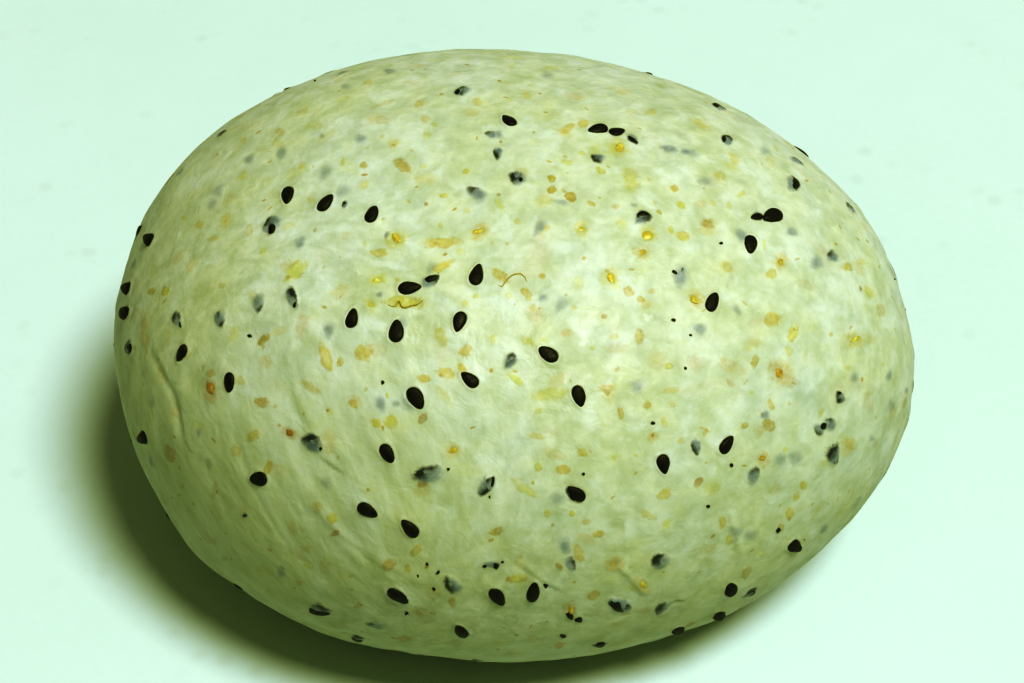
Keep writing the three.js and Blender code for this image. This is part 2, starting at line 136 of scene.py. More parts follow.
# Bran and cracked grain under the skin: the same fields as the grits.
FLAKES = [
    (147.7, 53.4, 67, 2.4, 1.3, 1, 1, 1), (91.9, 75.3, 103, 2.6, 1.4, 0, 1, 1), (155.3, 67.1, 48, 2.5, 1.3, 1, 1, 2), (133.0, 75.5, -67, 2.3, 1.4, 1, 1, 0),
    (107.8, 77.1, 82, 1.2, 0.7, 0, 1, 0), (31.9, 61.6, 96, 2.7, 1.4, 1, 1, 1), (166.1, 70.3, -113, 1.9, 1.3, 1, 1, 1), (23.4, 53.8, 4, 3.8, 2.5, 1, 1, 0),
    (28.4, 77.3, -54, 2.2, 1.6, 1, 2, 1), (23.1, 81.5, -69, 2.9, 1.3, 1, 2, 1), (170.8, 72.5, -88, 1.1, 0.8, 0, 1, 1), (172.1, 45.6, -129, 2.3, 1.3, 2, 1, 1),
    (-178.1, 71.7, 23, 2.0, 1.1, 0, 1, 1), (-179.3, 64.0, 19, 1.1, 0.7, 1, 1, 1), (171.9, 39.0, 36, 2.4, 1.1, 1, 1, 1), (-173.8, 66.2, -14, 2.0, 1.4, 0, 1, 1),
    (19.0, 39.6, 144, 2.6, 1.1, 1, 1, 1), (-15.5, 78.5, 46, 0.9, 0.8, 0, 1, 1), (8.0, 50.4, 170, 2.8, 1.6, 0, 1, 1), (-168.5, 57.6, -5, 1.9, 0.7, 0, 1, 1),
    (-158.1, 66.8, -175, 3.5, 1.6, 2, 2, 2), (-35.5, 79.6, 93, 1.7, 1.1, 0, 1, 1), (-171.9, 51.0, -10, 1.8, 1.1, 1, 1, 0), (-164.3, 60.7, 2, 1.6, 1.0, 1, 2, 2),
    (-153.6, 69.9, -106, 1.1, 0.7, 0, 1, 0), (-21.8, 67.9, -155, 4.8, 2.3, 0, 1, 1), (-25.9, 73.5, 64, 1.6, 1.2, 0, 2, 2), (-135.0, 75.5, -95, 1.1, 1.0, 0, 2, 1),
    (-1.7, 53.5, 154, 2.2, 1.8, 1, 1, 1), (-175.5, 41.1, -99, 2.0, 1.8, 0, 1, 1), (-61.7, 77.6, -124, 1.6, 1.1, 1, 3, 2), (-65.4, 75.1, 34, 1.7, 1.3, 1, 3, 2),
    (-57.0, 72.3, -116, 1.7, 1.7, 1, 3, 2), (-155.0, 59.6, -45, 1.6, 1.2, 0, 1, 0), (-15.3, 60.4, 10, 1.5, 1.1, 1, 2, 2), (-5.8, 49.4, 148, 1.7, 0.8, 0, 1, 1),
    (-129.8, 68.8, -160, 1.4, 0.9, 0, 2, 1), (-158.3, 51.2, 17, 1.6, 1.2, 1, 1, 2), (-156.0, 53.8, 19, 1.2, 0.9, 1, 1, 2), (-101.4, 71.9, -75, 2.5, 0.9, 0, 1, 1),
    (-21.4, 58.1, 89, 1.6, 1.4, 0, 2, 1), (-14.6, 53.5, -1, 1.2, 1.0, 0, 1, 1), (-26.9, 61.9, -129, 0.8, 0.6, 1, 1, 1), (-12.5, 51.0, -169, 1.7, 0.8, 0, 1, 1),
    (-49.6, 69.2, 112, 1.3, 0.8, 1, 2, 2), (-41.1, 66.2, 145, 1.1, 0.9, 2, 1, 1), (-115.0, 68.3, 133, 0.8, 0.8, 0, 1, 1), (-165.6, 38.0, -30, 2.8, 2.1, 1, 1, 1),
    (-173.1, 30.6, -129, 1.6, 0.8, 0, 1, 0), (-22.6, 52.7, 147, 2.4, 1.7, 2, 2, 2), (-89.7, 68.4, -102, 1.0, 0.8, 1, 1, 1), (-168.8, 33.4, -148, 2.2, 1.3, 1, 2, 1),
    (-120.9, 63.5, -67, 0.9, 0.6, 0, 1, 1), (-75.7, 67.1, -125, 1.1, 0.8, 0, 1, 2), (-31.8, 54.6, -24, 1.9, 1.7, 0, 2, 1), (-32.5, 56.7, -121, 1.5, 1.0, 0, 2, 1),
    (-163.2, 35.3, -138, 2.0, 0.9, 1, 1, 1), (-116.8, 60.5, -169, 5.2, 1.7, 1, 2, 1), (-99.0, 63.4, -78, 0.7, 0.5, 1, 1, 1), (-18.3, 43.3, -157, 1.7, 0.7, 0, 1, 1),
    (-135.7, 53.5, -58, 0.8, 0.5, 0, 1, 1), (-152.6, 41.5, -30, 1.3, 1.1, 0, 1, 0), (-130.5, 53.8, -161, 2.6, 1.4, 1, 2, 1), (-93.9, 57.3, -37, 3.1, 1.5, 1, 2, 2),
    (-4.3, 26.7, 136, 3.0, 1.0, 0, 1, 1), (-112.3, 56.6, -143, 3.3, 1.4, 0, 2, 1), (-143.2, 43.3, -94, 3.7, 2.7, 0, 2, 0), (-30.3, 45.7, 112, 2.5, 1.6, 1, 1, 2),
    (-8.7, 29.5, 146, 2.6, 1.4, 1, 2, 2), (-23.5, 40.1, 157, 2.0, 1.4, 1, 2, 1), (-80.5, 57.5, 176, 1.0, 0.9, 1, 2, 2), (-152.7, 33.7, -159, 1.2, 1.1, 1, 1, 2),
    (-56.9, 51.5, -1, 1.7, 1.5, 1, 2, 2), (-54.9, 49.5, -62, 1.3, 1.0, 1, 2, 2), (-9.3, 24.3, 123, 3.1, 1.6, 0, 1, 1), (-85.5, 54.3, -57, 2.1, 1.0, 1, 2, 1),
    (-50.9, 49.9, -166, 1.1, 0.7, 2, 1, 1), (-90.6, 53.9, 165, 1.0, 0.8, 0, 1, 1), (-99.7, 53.1, -170, 0.9, 0.6, 0, 2, 1), (-116.4, 48.7, -167, 5.5, 1.8, 0, 2, 2),
    (-102.3, 51.5, -178, 1.0, 0.9, 0, 1, 1), (-9.6, 20.8, 152, 2.6, 2.0, 2, 1, 2), (-83.7, 51.7, -58, 1.3, 0.9, 0, 1, 1), (-72.8, 51.2, -70, 0.8, 0.6, 0, 1, 1),
    (-159.7, 18.6, -27, 6.9, 2.2, 2, 1, 1), (-31.1, 35.4, 143, 2.5, 2.0, 1, 2, 1), (-105.6, 45.4, -66, 3.2, 1.3, 1, 1, 1), (-29.3, 31.7, -165, 3.0, 1.6, 0, 2, 1),
    (-76.0, 47.1, 162, 1.4, 1.2, 2, 1, 1), (-59.3, 43.8, -111, 2.3, 1.4, 1, 2, 1), (-138.3, 33.0, -117, 2.5, 1.3, 2, 3, 2), (-65.0, 45.1, 176, 1.3, 0.8, 0, 1, 1),
    (-93.7, 46.4, -98, 1.2, 0.7, 0, 1, 1), (-85.4, 46.2, 144, 1.8, 1.3, 0, 1, 1), (-81.6, 46.3, -143, 0.7, 0.6, 0, 1, 1), (-126.2, 36.1, -42, 4.0, 1.5, 1, 2, 0),
    (-119.6, 39.0, -50, 2.5, 2.4, 1, 2, 1), (-99.2, 43.9, -131, 2.1, 1.6, 1, 2, 1), (-32.3, 30.3, -117, 1.5, 1.3, 0, 1, 1), (-70.4, 44.1, -175, 0.7, 0.5, 0, 1, 1),
    (-148.8, 23.3, -133, 1.5, 1.0, 1, 1, 2), (-39.3, 32.1, -142, 2.0, 1.1, 1, 2, 2), (-123.1, 36.4, -68, 1.3, 1.0, 1, 2, 2), (-102.4, 39.8, -16, 2.5, 1.5, 1, 2, 1),
    (-106.3, 38.4, 6, 1.5, 1.1, 1, 2, 1), (-99.5, 41.0, -58, 1.5, 1.0, 1, 2, 1), (-16.5, 16.3, 147, 1.2, 0.7, 1, 1, 1), (-55.8, 37.8, 159, 1.1, 0.9, 0, 2, 1),
    (-24.0, 21.5, 139, 1.4, 0.8, 1, 1, 1), (-143.2, 24.1, -132, 1.6, 1.2, 2, 2, 1), (-88.0, 40.1, 141, 2.3, 1.1, 0, 2, 1), (-137.7, 26.4, 4, 1.6, 1.3, 1, 1, 1),
    (-126.0, 31.2, 170, 3.2, 1.1, 2, 1, 2), (-45.8, 31.4, -69, 1.6, 0.8, 3, 1, 1), (-69.8, 37.3, 150, 1.8, 1.6, 2, 2, 1), (-81.1, 37.6, -177, 5.0, 1.7, 0, 1, 1),
    (-116.3, 34.3, -105, 0.7, 0.5, 2, 1, 2), (-57.2, 34.2, 171, 2.7, 0.9, 1, 1, 1), (-42.8, 28.4, 149, 0.9, 0.7, 0, 1, 0), (-112.1, 34.5, -72, 0.9, 0.5, 0, 2, 0),
    (-132.5, 25.7, -176, 2.0, 1.5, 2, 2, 2), (-13.4, 5.9, -47, 2.6, 1.5, 2, 1, 2), (-117.4, 31.6, -40, 1.4, 1.2, 1, 2, 0), (-62.4, 33.2, -156, 1.3, 1.1, 2, 2, 2),
    (-40.6, 25.2, -88, 1.5, 0.9, 1, 2, 1), (-57.7, 32.2, -57, 0.9, 0.7, 1, 1, 0), (-130.0, 26.3, -99, 0.7, 0.6, 2, 1, 1), (-67.8, 33.2, -102, 1.6, 0.9, 1, 2, 2),
    (-120.9, 29.3, -52, 1.1, 0.9, 0, 1, 1), (-32.4, 19.3, -112, 1.1, 0.9, 0, 1, 1), (-110.0, 31.0, 11, 1.9, 1.5, 0, 2, 1), (-112.3, 30.1, -13, 1.5, 1.3, 0, 2, 1),
    (-104.7, 32.4, -115, 1.9, 1.1, 3, 2, 2), (-60.3, 29.9, -97, 1.5, 0.8, 0, 1, 1), (-42.4, 22.6, -51, 2.0, 1.5, 2, 2, 2), (-46.4, 24.4, -180, 1.3, 0.9, 1, 2, 2),
    (-53.4, 26.6, 140, 1.8, 0.4, 2, 1, 1), (-131.5, 20.8, -135, 2.7, 1.3, 1, 2, 1), (-84.1, 31.3, 167, 2.4, 0.8, 1, 1, 1), (-58.2, 26.4, -44, 1.1, 1.0, 1, 1, 1),
    (-29.0, 11.0, -56, 3.9, 1.7, 1, 1, 1), (-145.6, 8.3, 36, 3.9, 2.6, 3, 2, 2), (-133.4, 17.3, 38, 1.9, 1.6, 1, 1, 1), (-79.6, 25.8, -9, 1.9, 1.4, 1, 2, 1),
    (-75.8, 28.1, -39, 1.7, 1.1, 1, 2, 1), (-40.9, 17.6, -100, 0.9, 0.9, 0, 1, 1), (-70.5, 26.7, -96, 1.0, 0.7, 0, 1, 0), (-66.6, 26.1, 154, 0.8, 0.5, 0, 1, 2),
    (-127.3, 17.7, -99, 2.0, 1.2, 1, 2, 2), (-83.8, 26.5, -76, 1.1, 1.1, 0, 2, 1), (-56.9, 19.0, -130, 1.5, 1.2, 3, 2, 2), (-39.1, 9.8, -60, 2.1, 1.1, 1, 2, 1),
    (-40.5, 8.6, -77, 1.3, 1.2, 1, 2, 1), (-41.9, 6.0, -81, 2.4, 1.3, 1, 2, 1), (-43.6, 4.1, -71, 2.0, 0.9, 1, 2, 1), (-102.5, 23.1, -166, 1.5, 1.1, 3, 2, 2),
    (-86.1, 23.2, 140, 3.8, 1.1, 0, 1, 1), (-135.7, 8.7, -102, 3.0, 1.1, 3, 1, 1), (-142.5, 4.3, -132, 1.4, 0.6, 2, 1, 1), (-62.8, 18.8, -169, 2.2, 1.6, 1, 2, 1),
    (-118.4, 15.0, -137, 2.0, 1.5, 2, 1, 1), (-82.4, 19.0, -94, 1.0, 0.8, 0, 2, 1), (-78.5, 18.6, -109, 0.9, 0.8, 0, 2, 1), (-65.8, 15.8, 142, 2.5, 1.1, 1, 1, 1),
    (-115.7, 14.2, -109, 1.7, 1.5, 0, 2, 1), (-53.9, 10.3, -84, 2.2, 1.0, 1, 2, 1), (-63.2, 13.4, -100, 2.1, 1.3, 0, 1, 1), (-76.1, 16.9, 163, 1.2, 0.9, 2, 1, 1),
    (-81.6, 17.0, 130, 0.6, 0.6, 3, 1, 2), (-90.5, 16.3, -147, 1.9, 1.3, 2, 2, 2), (-115.0, 11.8, -129, 1.7, 0.8, 3, 2, 2), (-74.4, 14.5, 161, 1.5, 1.2, 1, 2, 2),
    (-52.8, 6.3, -87, 1.9, 1.0, 0, 2, 1), (-102.5, 12.2, -125, 2.7, 1.1, 1, 2, 0), (-119.3, 7.3, -138, 1.8, 1.4, 1, 1, 1), (-77.6, 11.3, -70, 3.2, 1.3, 1, 2, 0),
    (-46.8, 0.2, -83, 1.5, 1.0, 0, 1, 1), (-134.6, -4.7, -131, 2.6, 0.9, 3, 1, 1), (-106.6, 8.5, -135, 2.8, 1.8, 2, 2, 1), (-119.0, 3.9, -132, 1.9, 1.2, 0, 1, 1),
    (-80.8, 9.5, 129, 1.4, 0.9, 2, 2, 2), (-103.6, 8.5, -100, 1.4, 1.0, 1, 2, 1), (-49.2, -3.0, -90, 3.0, 1.5, 3, 2, 0), (-87.2, 7.6, -167, 2.4, 1.7, 0, 2, 1),
    (-120.6, -0.8, -127, 1.6, 1.1, 2, 1, 1), (-69.1, 2.1, 125, 2.1, 0.5, 0, 1, 0), (-75.3, 2.2, -113, 1.9, 1.8, 2, 2, 1), (-96.9, 2.7, -84, 2.0, 1.0, 2, 2, 1),
    (-117.8, -4.2, -152, 1.2, 0.6, 3, 1, 2), (-111.5, -2.0, -142, 1.9, 0.8, 2, 1, 1), (-102.0, -0.7, 113, 1.2, 1.0, 3, 1, 1), (-69.8, -4.1, 161, 1.7, 0.9, 3, 1, 2),
    (-114.5, -8.4, -103, 2.6, 0.8, 0, 1, 0), (-56.7, -15.7, 111, 2.6, 1.6, 2, 2, 2), (-105.0, -9.3, -128, 2.6, 1.6, 2, 2, 1), (-80.3, -11.4, -93, 2.6, 1.6, 2, 2, 1),
    (-164.2, 22.6, 35, 2.7, 1.2, 1, 3, 2), (-161.3, 25.2, 19, 2.1, 1.4, 0, 3, 1),
]

# Black crumbs of seed coat.
CRUMBS = [
    (-52.6, 36.5, -3, 0.5, 0.5), (-62.3, 30.3, -17, 0.7, 0.5), (-76.2, 24.8, -18, 0.5, 0.5), (-50.8, 19.6, -48, 0.6, 0.5), (-56.0, 14.4, -58, 0.7, 0.5),
    (-82.8, 5.7, -69, 1.0, 0.7), (-79.9, -7.8, -74, 1.2, 0.8), (-50.0, 44.1, -12, 0.7, 0.5), (-25.6, 49.1, -21, 0.6, 0.4), (-48.4, 40.8, -15, 0.5, 0.4),
    (-79.3, -1.7, -75, 1.2, 0.7), (-77.5, -3.4, -75, 1.2, 0.8), (-113.8, 36.1, -74, 0.6, 0.5), (-140.9, 32.1, 25, 0.6, 0.4), (-129.9, 7.8, 48, 0.7, 0.4),
    (-103.9, -1.2, 79, 0.9, 0.5), (-102.1, 7.5, 67, 0.5, 0.4), (-99.1, 8.6, 56, 0.8, 0.4), (-99.7, 5.2, 76, 0.7, 0.5), (-98.9, 25.8, 7, 0.4, 0.4),
    (-120.1, 23.7, -37, 0.6, 0.6), (-100.8, 9.9, 80, 0.5, 0.4), (-92.2, 10.2, 89, 0.6, 0.6), (-90.5, 10.2, -67, 1.1, 0.7), (-89.5, 10.9, -77, 0.4, 0.4),
    (-91.8, 22.0, -90, 0.4, 0.3), (-116.8, 41.7, -43, 0.9, 0.6), (-112.5, 42.7, 16, 0.6, 0.5), (-141.1, 32.0, 25, 0.8, 0.5), (-42.4, 50.7, -41, 0.8, 0.6),
    (-44.0, 3.6, -54, 1.2, 0.8), (-38.8, -2.1, -41, 1.2, 0.8),
]

# ------------------------------------------------------------------------------------------------------ numbers, noise
RNG = np.random.default_rng(417)


def unit(v):
    return v / np.linalg.norm(v, axis=-1, keepdims=True)


def direction(lon, lat):
    lo, la = np.radians(lon), np.radians(lat)
    return np.stack([np.cos(la) * np.cos(lo), np.cos(la) * np.sin(lo), np.sin(la)], -1)


def hashed(i, j, k, seed):
    with np.errstate(over="ignore"):
        h = i.astype(np.uint32) * np.uint32(0x8DA6B343)
        h ^= j.astype(np.uint32) * np.uint32(0xD8163841)
        h ^= k.astype(np.uint32) * np.uint32(0xCB1AB31F)
        h ^= np.uint32((seed * 0x9E3779B1) & 0xFFFFFFFF)
        h ^= h >> np.uint32(15)
        h *= np.uint32(0x85EBCA6B)
        h ^= h >> np.uint32(13)
        h *= np.uint32(0xC2B2AE35)
        h ^= h >> np.uint32(16)
    return h


def gnoise(p, seed=0):
    """Gradient noise of points in lattice units, about -1 to 1."""
    i = np.floor(p).astype(np.int64)
    f = p - i
    w = f ** 3 * (f * (f * 6 - 15) + 10)
    out = np.zeros(len(p))
    for c in range(8):
        o = np.array([c & 1, c >> 1 & 1, c >> 2 & 1])
        h = hashed(i[:, 0] + o[0], i[:, 1] + o[1], i[:, 2] + o[2], seed)
        g = np.stack([(h >> np.uint32(s) & np.uint32(1023)).astype(float) / 511.5 - 1 for s in (0, 10, 20)], -1)
        out += np.prod(np.where(o, w, 1 - w), axis=1) * (g * (f - o)).sum(1)
    return out * 1.25


def fnoise(p, wave, seed=0, octaves=2):
    return sum(gnoise(p / (wave / 2 ** o) + 17.3 * o, seed + o) * 0.5 ** o for o in range(octaves))


def step(a, b, x):
    t = np.clip((x - a) / (b - a), 0, 1)
    return t * t * (3 - 2 * t)


# ------------------------------------------------------------------------------------------------------------ the form
SWELL_DIR = direction(np.array([s[0] for s in SWELLS]), np.array([s[1] for s in SWELLS]))
SWELL_BY = np.array([s[2] for s in SWELLS])


def radius(d):
    x, y, z = d[..., 0], d[..., 1], d[..., 2]
    up = np.where(z > 0, HALF_UP, HALF_DOWN)
    r = ((abs(x) / HALF_LONG) ** FULLNESS + (abs(y) / HALF_DEEP) ** FULLNESS + (abs(z) / up) ** FULLNESS) ** (-1 / FULLNESS)
    s = (LUMP["x"] * x + LUMP["y"] * y + LUMP["xz"] * x * z + LUMP["yz"] * y * z + LUMP["oval"] * (x * x - y * y)
         + LUMP["tri_x"] * x * (x * x - 3 * y * y) + LUMP["tri_y"] * y * (3 * x * x - y * y)
         + LUMP["quad_x"] * ((x * x - y * y) ** 2 - 4 * x * x * y * y) + LUMP["quad_y"] * x * y * (x * x - y * y))
    local = np.exp(-(1 - d @ SWELL_DIR.T) / SWELL_REACH) @ SWELL_BY
    return r * (1 + s / 100) * (1 + local / 100)


def skin(d):
    return d * radius(d)[..., None] + MIDDLE


def skin_normal(d):
    up = np.where(abs(d[..., 2:]) < 0.9, np.array([0.0, 0, 1]), np.array([1.0, 0, 0]))
    a = unit(np.cross(up, d))
    b = np.cross(d, a)
    h = 0.004
    da = skin(unit(d + h * a)) - skin(unit(d - h * a))
    db = skin(unit(d + h * b)) - skin(unit(d - h * b))
    return unit(np.cross(da, db))


class Spot:
    """A place on the skin with its own axes: along the long way, across it, and out."""

    def __init__(self, lon, lat, spin, length=1.0, width=1.0):
        self.d = direction(np.array([lon]), np.array([lat]))[0]
        self.p = skin(self.d[None])[0]
        self.n = skin_normal(self.d[None])[0]
        east = unit(np.cross([0.0, 0, 1], self.n))
        north = np.cross(self.n, east)
        a = math.radians(spin)
        self.t = math.cos(a) * east + math.sin(a) * north
        self.s = np.cross(self.n, self.t)
        self.r = np.linalg.norm(self.p - MIDDLE)
        self.half = np.array([length / 2, width / 2])

    def local(self, p):
        q = p - self.p
        return np.stack([q @ self.t / self.half[0], q @ self.s / self.half[1]], -1)

    def near(self, d, mm):
        return np.nonzero(d @ self.d > math.cos(min(1.2, 1.25 * mm / self.r)))[0]


def tear(uv):
    """1 on the outline of a seed, less inside it."""
    return np.hypot(uv[..., 0], uv[..., 1] * 1.03 * (1 + 0.32 * np.clip(uv[..., 0], -1.2, 1.2)))


# -------------------------------------------------------------------------------------------------------------- camera
LENS, SENSOR, PICTURE = 85.0, 36.0, (1024, 683)
AZ, EL, FAR = math.radians(3.99), math.radians(45.0), 345.32
OFF_X, OFF_Y = 11.85, -18.42
FOCAL = LENS * PICTURE[0] / SENSOR
BACK = np.array([math.sin(AZ) * math.cos(EL), -math.cos(AZ) * math.cos(EL), math.sin(EL)])
RIGHT = np.array([math.cos(AZ), math.sin(AZ), 0.0])
UPWARD = np.cross(BACK, RIGHT)
TARGET = np.array([MIDDLE[0], MIDDLE[1], 34.0]) - OFF_X / (FOCAL / FAR) * RIGHT + OFF_Y / (FOCAL / FAR) * UPWARD
EYE = TARGET + BACK * FAR

cam_data = bpy.data.cameras.new("camera")
cam_data.lens, cam_data.sensor_width, cam_data.sensor_fit = LENS, SENSOR, "HORIZONTAL"
cam_data.clip_start, cam_data.clip_end = 0.01, 50
cam = bpy.data.objects.new("camera", cam_data)
bpy.context.scene.collection.objects.link(cam)
rot = Matrix([[RIGHT[i], UPWARD[i], BACK[i]] for i in range(3)]).to_4x4()
cam.matrix_world = Matrix.Translation(Vector(EYE * MM)) @ rot
bpy.context.scene.camera = cam


def faces_front(d):
    p = skin(d)
    return (skin_normal(d) * unit(EYE - p)).sum(-1)


# --------------------------------------------------------------------------------------------- what the table can't say
def scatter(count, apart, sizes, taken, keep, seed, clear=-99.0):
    """Spots spread evenly over the part of the ball that keep() allows, clear of those already taken and of the foot."""
    rng = np.random.default_rng(seed)
    n = count * 14
    z = rng.uniform(-0.86, 1, n)
    lon = rng.uniform(-180, 180, n)
    lat = np.degrees(np.arcsin(z))
    d = direction(lon, lat)
    r = radius(d)
    up = skin(d)[:, 2]
    front = faces_front(d)
    roll = rng.random(n)
    share = keep(front)
    out, dirs = [], [direction(t[0], t[1]) for t in taken]
    for i in range(n):
        if len(out) >= count:
            break
        if up[i] < clear:
            continue
        # a longer radius carries more skin
        if roll[i] > share[i] * min(1.0, (r[i] / 56) ** 2):
            continue
        c = math.cos(apart / r[i])
        if dirs and (np.asarray(dirs) @ d[i]).max() > c:
            continue
        dirs.append(d[i])
        (l0, l1), (w0, w1) = sizes
        out.append((float(lon[i]), float(lat[i]), float(rng.uniform(-180, 180)), float(rng.uniform(l0, l1)),
                    float(rng.uniform(w0, w1))))
    return out


def unseen(front):
    return np.clip((0.17 - front) / 0.14, 0, 1)


SHOWS = {1: 0.94, 2: 0.90, 3: 0.84, 4: 0.82, 5: 0.84}
VEILED = [t[:3] + (t[3] * SHOWS[t[5]], t[4] * SHOWS[t[5]]) + t[5:] for t in VEILED_SEEDS]
SUNK = [t[:3] + (t[3] * 0.88, t[4] * 0.85) + t[5:] for t in SUNK_SEEDS]
FLAKE = [t for t in FLAKES]
GRIT = [t for t in GRITS]
more = scatter(34, 7.0, ((2.9, 3.4), (1.8, 2.1)), BARE_SEEDS + SUNK + VEILED, unseen, 5, 4.0)
SUNK += [t + (float(RNG.uniform(0.3, 0.75)), float(RNG.uniform(-12, 12))) for t in more]
more = scatter(190, 3.7, ((2.8, 3.4), (1.8, 2.2)), BARE_SEEDS + SUNK + VEILED, unseen, 6)
VEILED += [t + (int(RNG.choice([1, 2, 3, 4, 5], p=[0.2, 0.26, 0.26, 0.16, 0.12])),) for t in more]
more = scatter(34, 6.0, ((1.6, 2.6), (1.3, 2.0)), BARE_SEEDS + SUNK + GRIT, unseen, 7, 4.0)
GRIT += [t + (int(RNG.choice([0, 1, 2, 3], p=[0.36, 0.34, 0.22, 0.08])), int(RNG.choice([2, 3])), 1) for t in more]
more = scatter(250, 3.0, ((1.3, 3.0), (0.9, 2.0)), BARE_SEEDS + SUNK + GRIT + FLAKE, unseen, 8)
FLAKE += [t + (int(RNG.choice([0, 1, 2, 3], p=[0.36, 0.36, 0.2, 0.08])), int(RNG.choice([1, 2, 3], p=[0.5, 0.4, 0.1])),
               int(RNG.choice([0, 1, 2]))) for t in more]
everywhere = lambda front: np.ones_like(front)
PALE = [t + (int(RNG.choice([0, 1, 2, 3], p=[0.3, 0.25, 0.25, 0.2])), 0, int(RNG.choice([0, 1]))) for t in
        scatter(330, 3.4, ((1.2, 3.4), (0.9, 2.4)), BARE_SEEDS + GRIT, everywhere, 9)]
SPECKS = [t + (int(RNG.choice([1, 2, 3], p=[0.4, 0.35, 0.25])), int(RNG.choice([1, 2])), 2) for t in
          scatter(520, 1.6, ((0.35, 1.0), (0.25, 0.6)), BARE_SEEDS, everywhere, 10)]

# --------------------------------------------------------------------------------------------------- the dough's mesh


def geodesic(n):
    g = (1 + 5 ** 0.5) / 2
    v = unit(np.array([(-1, g, 0), (1, g, 0), (-1, -g, 0), (1, -g, 0), (0, -1, g), (0, 1, g), (0, -1, -g), (0, 1, -g),
                       (g, 0, -1), (g, 0, 1), (-g, 0, -1), (-g, 0, 1)], float))
    f = [(0, 11, 5), (0, 5, 1), (0, 1, 7), (0, 7, 10), (0, 10, 11), (1, 5, 9), (5, 11, 4), (11, 10, 2), (10, 7, 6),
         (7, 1, 8), (3, 9, 4), (3, 4, 2), (3, 2, 6), (3, 6, 8), (3, 8, 9), (4, 9, 5), (2, 4, 11), (6, 2, 10), (8, 6, 7),
         (9, 8, 1)]
    i, j = np.array([(i, j) for i in range(n + 1) for j in range(n + 1 - i)]).T
    at = -np.ones((n + 2, n + 2), int)
    at[i, j] = np.arange(len(i))
    lo = [(at[a, b], at[a + 1, b], at[a, b + 1]) for a in range(n) for b in range(n - a)]
    hi = [(at[a + 1, b], at[a + 1, b + 1], at[a, b + 1]) for a in range(n - 1) for b in range(n - 1 - a)]
    tri = np.array(lo + hi)
    pts, tris = [], []
    for a, b, c in f:
        k = n - i - j
        pts.append(unit((v[a] * k[:, None] + v[b] * i[:, None] + v[c] * j[:, None]) / n))
        tris.append(tri + len(i) * (len(pts) - 1))
    pts, tris = np.concatenate(pts), np.concatenate(tris)
    _, first, back = np.unique(np.round(pts, 6), axis=0, return_index=True, return_inverse=True)
    return pts[first], back.ravel()[tris]


def refine(v, t, marked):
    """Splits the marked triangles in four and their neighbours to match, so the mesh stays closed."""
    e = np.sort(np.concatenate([t[:, [0, 1]], t[:, [1, 2]], t[:, [2, 0]]]), axis=1)
    ue, inv = np.unique(e, axis=0, return_inverse=True)
    inv = inv.reshape(3, -1).T
    split = np.zeros(len(ue), bool)
    split[inv[marked].ravel()] = True
    while True:
        two = split[inv].sum(1) == 2
        if not two.any():
            break
        split[inv[two].ravel()] = True
    mid = np.full(len(ue), -1)
    mid[split] = len(v) + np.arange(split.sum())
    v2 = np.concatenate([v, unit(v[ue[split, 0]] + v[ue[split, 1]])])
    c = split[inv].sum(1)
    m = mid[inv]
    out = [t[c == 0]]
    a, b, d = t[c == 3].T
    ab, bd, da = m[c == 3].T
    out += [np.stack(x, 1) for x in ((a, ab, da), (ab, b, bd), (da, bd, d), (ab, bd, da))]
    for k in range(3):
        s = (c == 1) & split[inv[:, k]]
        p, q, r = t[s, k], t[s, (k + 1) % 3], t[s, (k + 2) % 3]
        out += [np.stack((p, m[s, k], r), 1), np.stack((m[s, k], q, r), 1)]
    return v2, np.concatenate(out)


BASE_N = 66
V, T = geodesic(BASE_N)
bare = [Spot(*t[:5]) for t in BARE_SEEDS]
sunk = [Spot(*t[:5]) for t in SUNK]
veiled = [Spot(*t[:5]) for t in VEILED]
grits = [Spot(*t[:5]) for t in GRIT]

# Lines in the skin: creases, folds and drawn ridges. Each is a run of longitude and latitude, then depth, half width,
# and how much the lip beside it stands up. A negative depth is a ridge.
LINES = [
    ([(-158.2, 18.2), (-154.6, 17.9), (-150.7, 17.6), (-147.9, 17.2), (-146.0, 15.9), (-144.2, 13.6), (-142.0, 10.7)], 0.30, 0.78, 0.12),
    ([(-156.6, 25.6), (-153.4, 24.8), (-151.0, 24.1)], 0.16, 0.35, 0.05),
    ([(-120.2, 22.5), (-118.5, 22.1), (-116.8, 21.7), (-115.4, 21.4)], 0.26, 0.34, 0.3),
    ([(-119.5, 25.3), (-117.4, 23.7), (-116.0, 21.9)], 0.14, 0.3, 0.1),
    ([(-52.4, 13.0), (-52.1, 9.9), (-51.2, 5.3), (-49.8, -0.8)], -0.26, 0.5, 0.0),
    ([(-71.8, 8.7), (-70.3, 6.4), (-68.3, 3.1), (-66.1, -1.3)], -0.3, 0.5, 0.0),
    ([(-88.0, 11.2), (-85.3, 8.4), (-82.5, 5.7), (-79.7, 3.5)], 0.18, 0.4, 0.22),
    ([(-63.6, -6.3), (-62.8, -4.9), (-61.5, -4.2), (-59.6, -5.3)], 0.28, 0.35, 0.18),
    ([(-29.3, 31.2), (-30.4, 29.2), (-32.4, 27.5), (-34.5, 26.2)], 0.07, 0.45, 0.08),
    ([(-16.5, 21.4), (-18.8, 18.6), (-21.8, 16.5)], 0.08, 0.4, 0.08),
    ([(-7.9, 15.2), (-10.7, 11.0), (-15.0, 8.0)], 0.08, 0.4, 0.08),
    ([(-134.8, 19.8), (-130.5, 15.4), (-127.1, 11.2), (-122.8, 7.1)], 0.1, 0.45, 0.1),
    ([(-121.2, 15.1), (-115.8, 12.1), (-109.4, 8.7), (-101.7, 5.6)], 0.09, 0.5, 0.09),
    ([(-131.0, 31.0), (-126.0, 27.5), (-121.5, 25.0)], 0.08, 0.4, 0.1),
]
line_rng = np.random.default_rng(31)
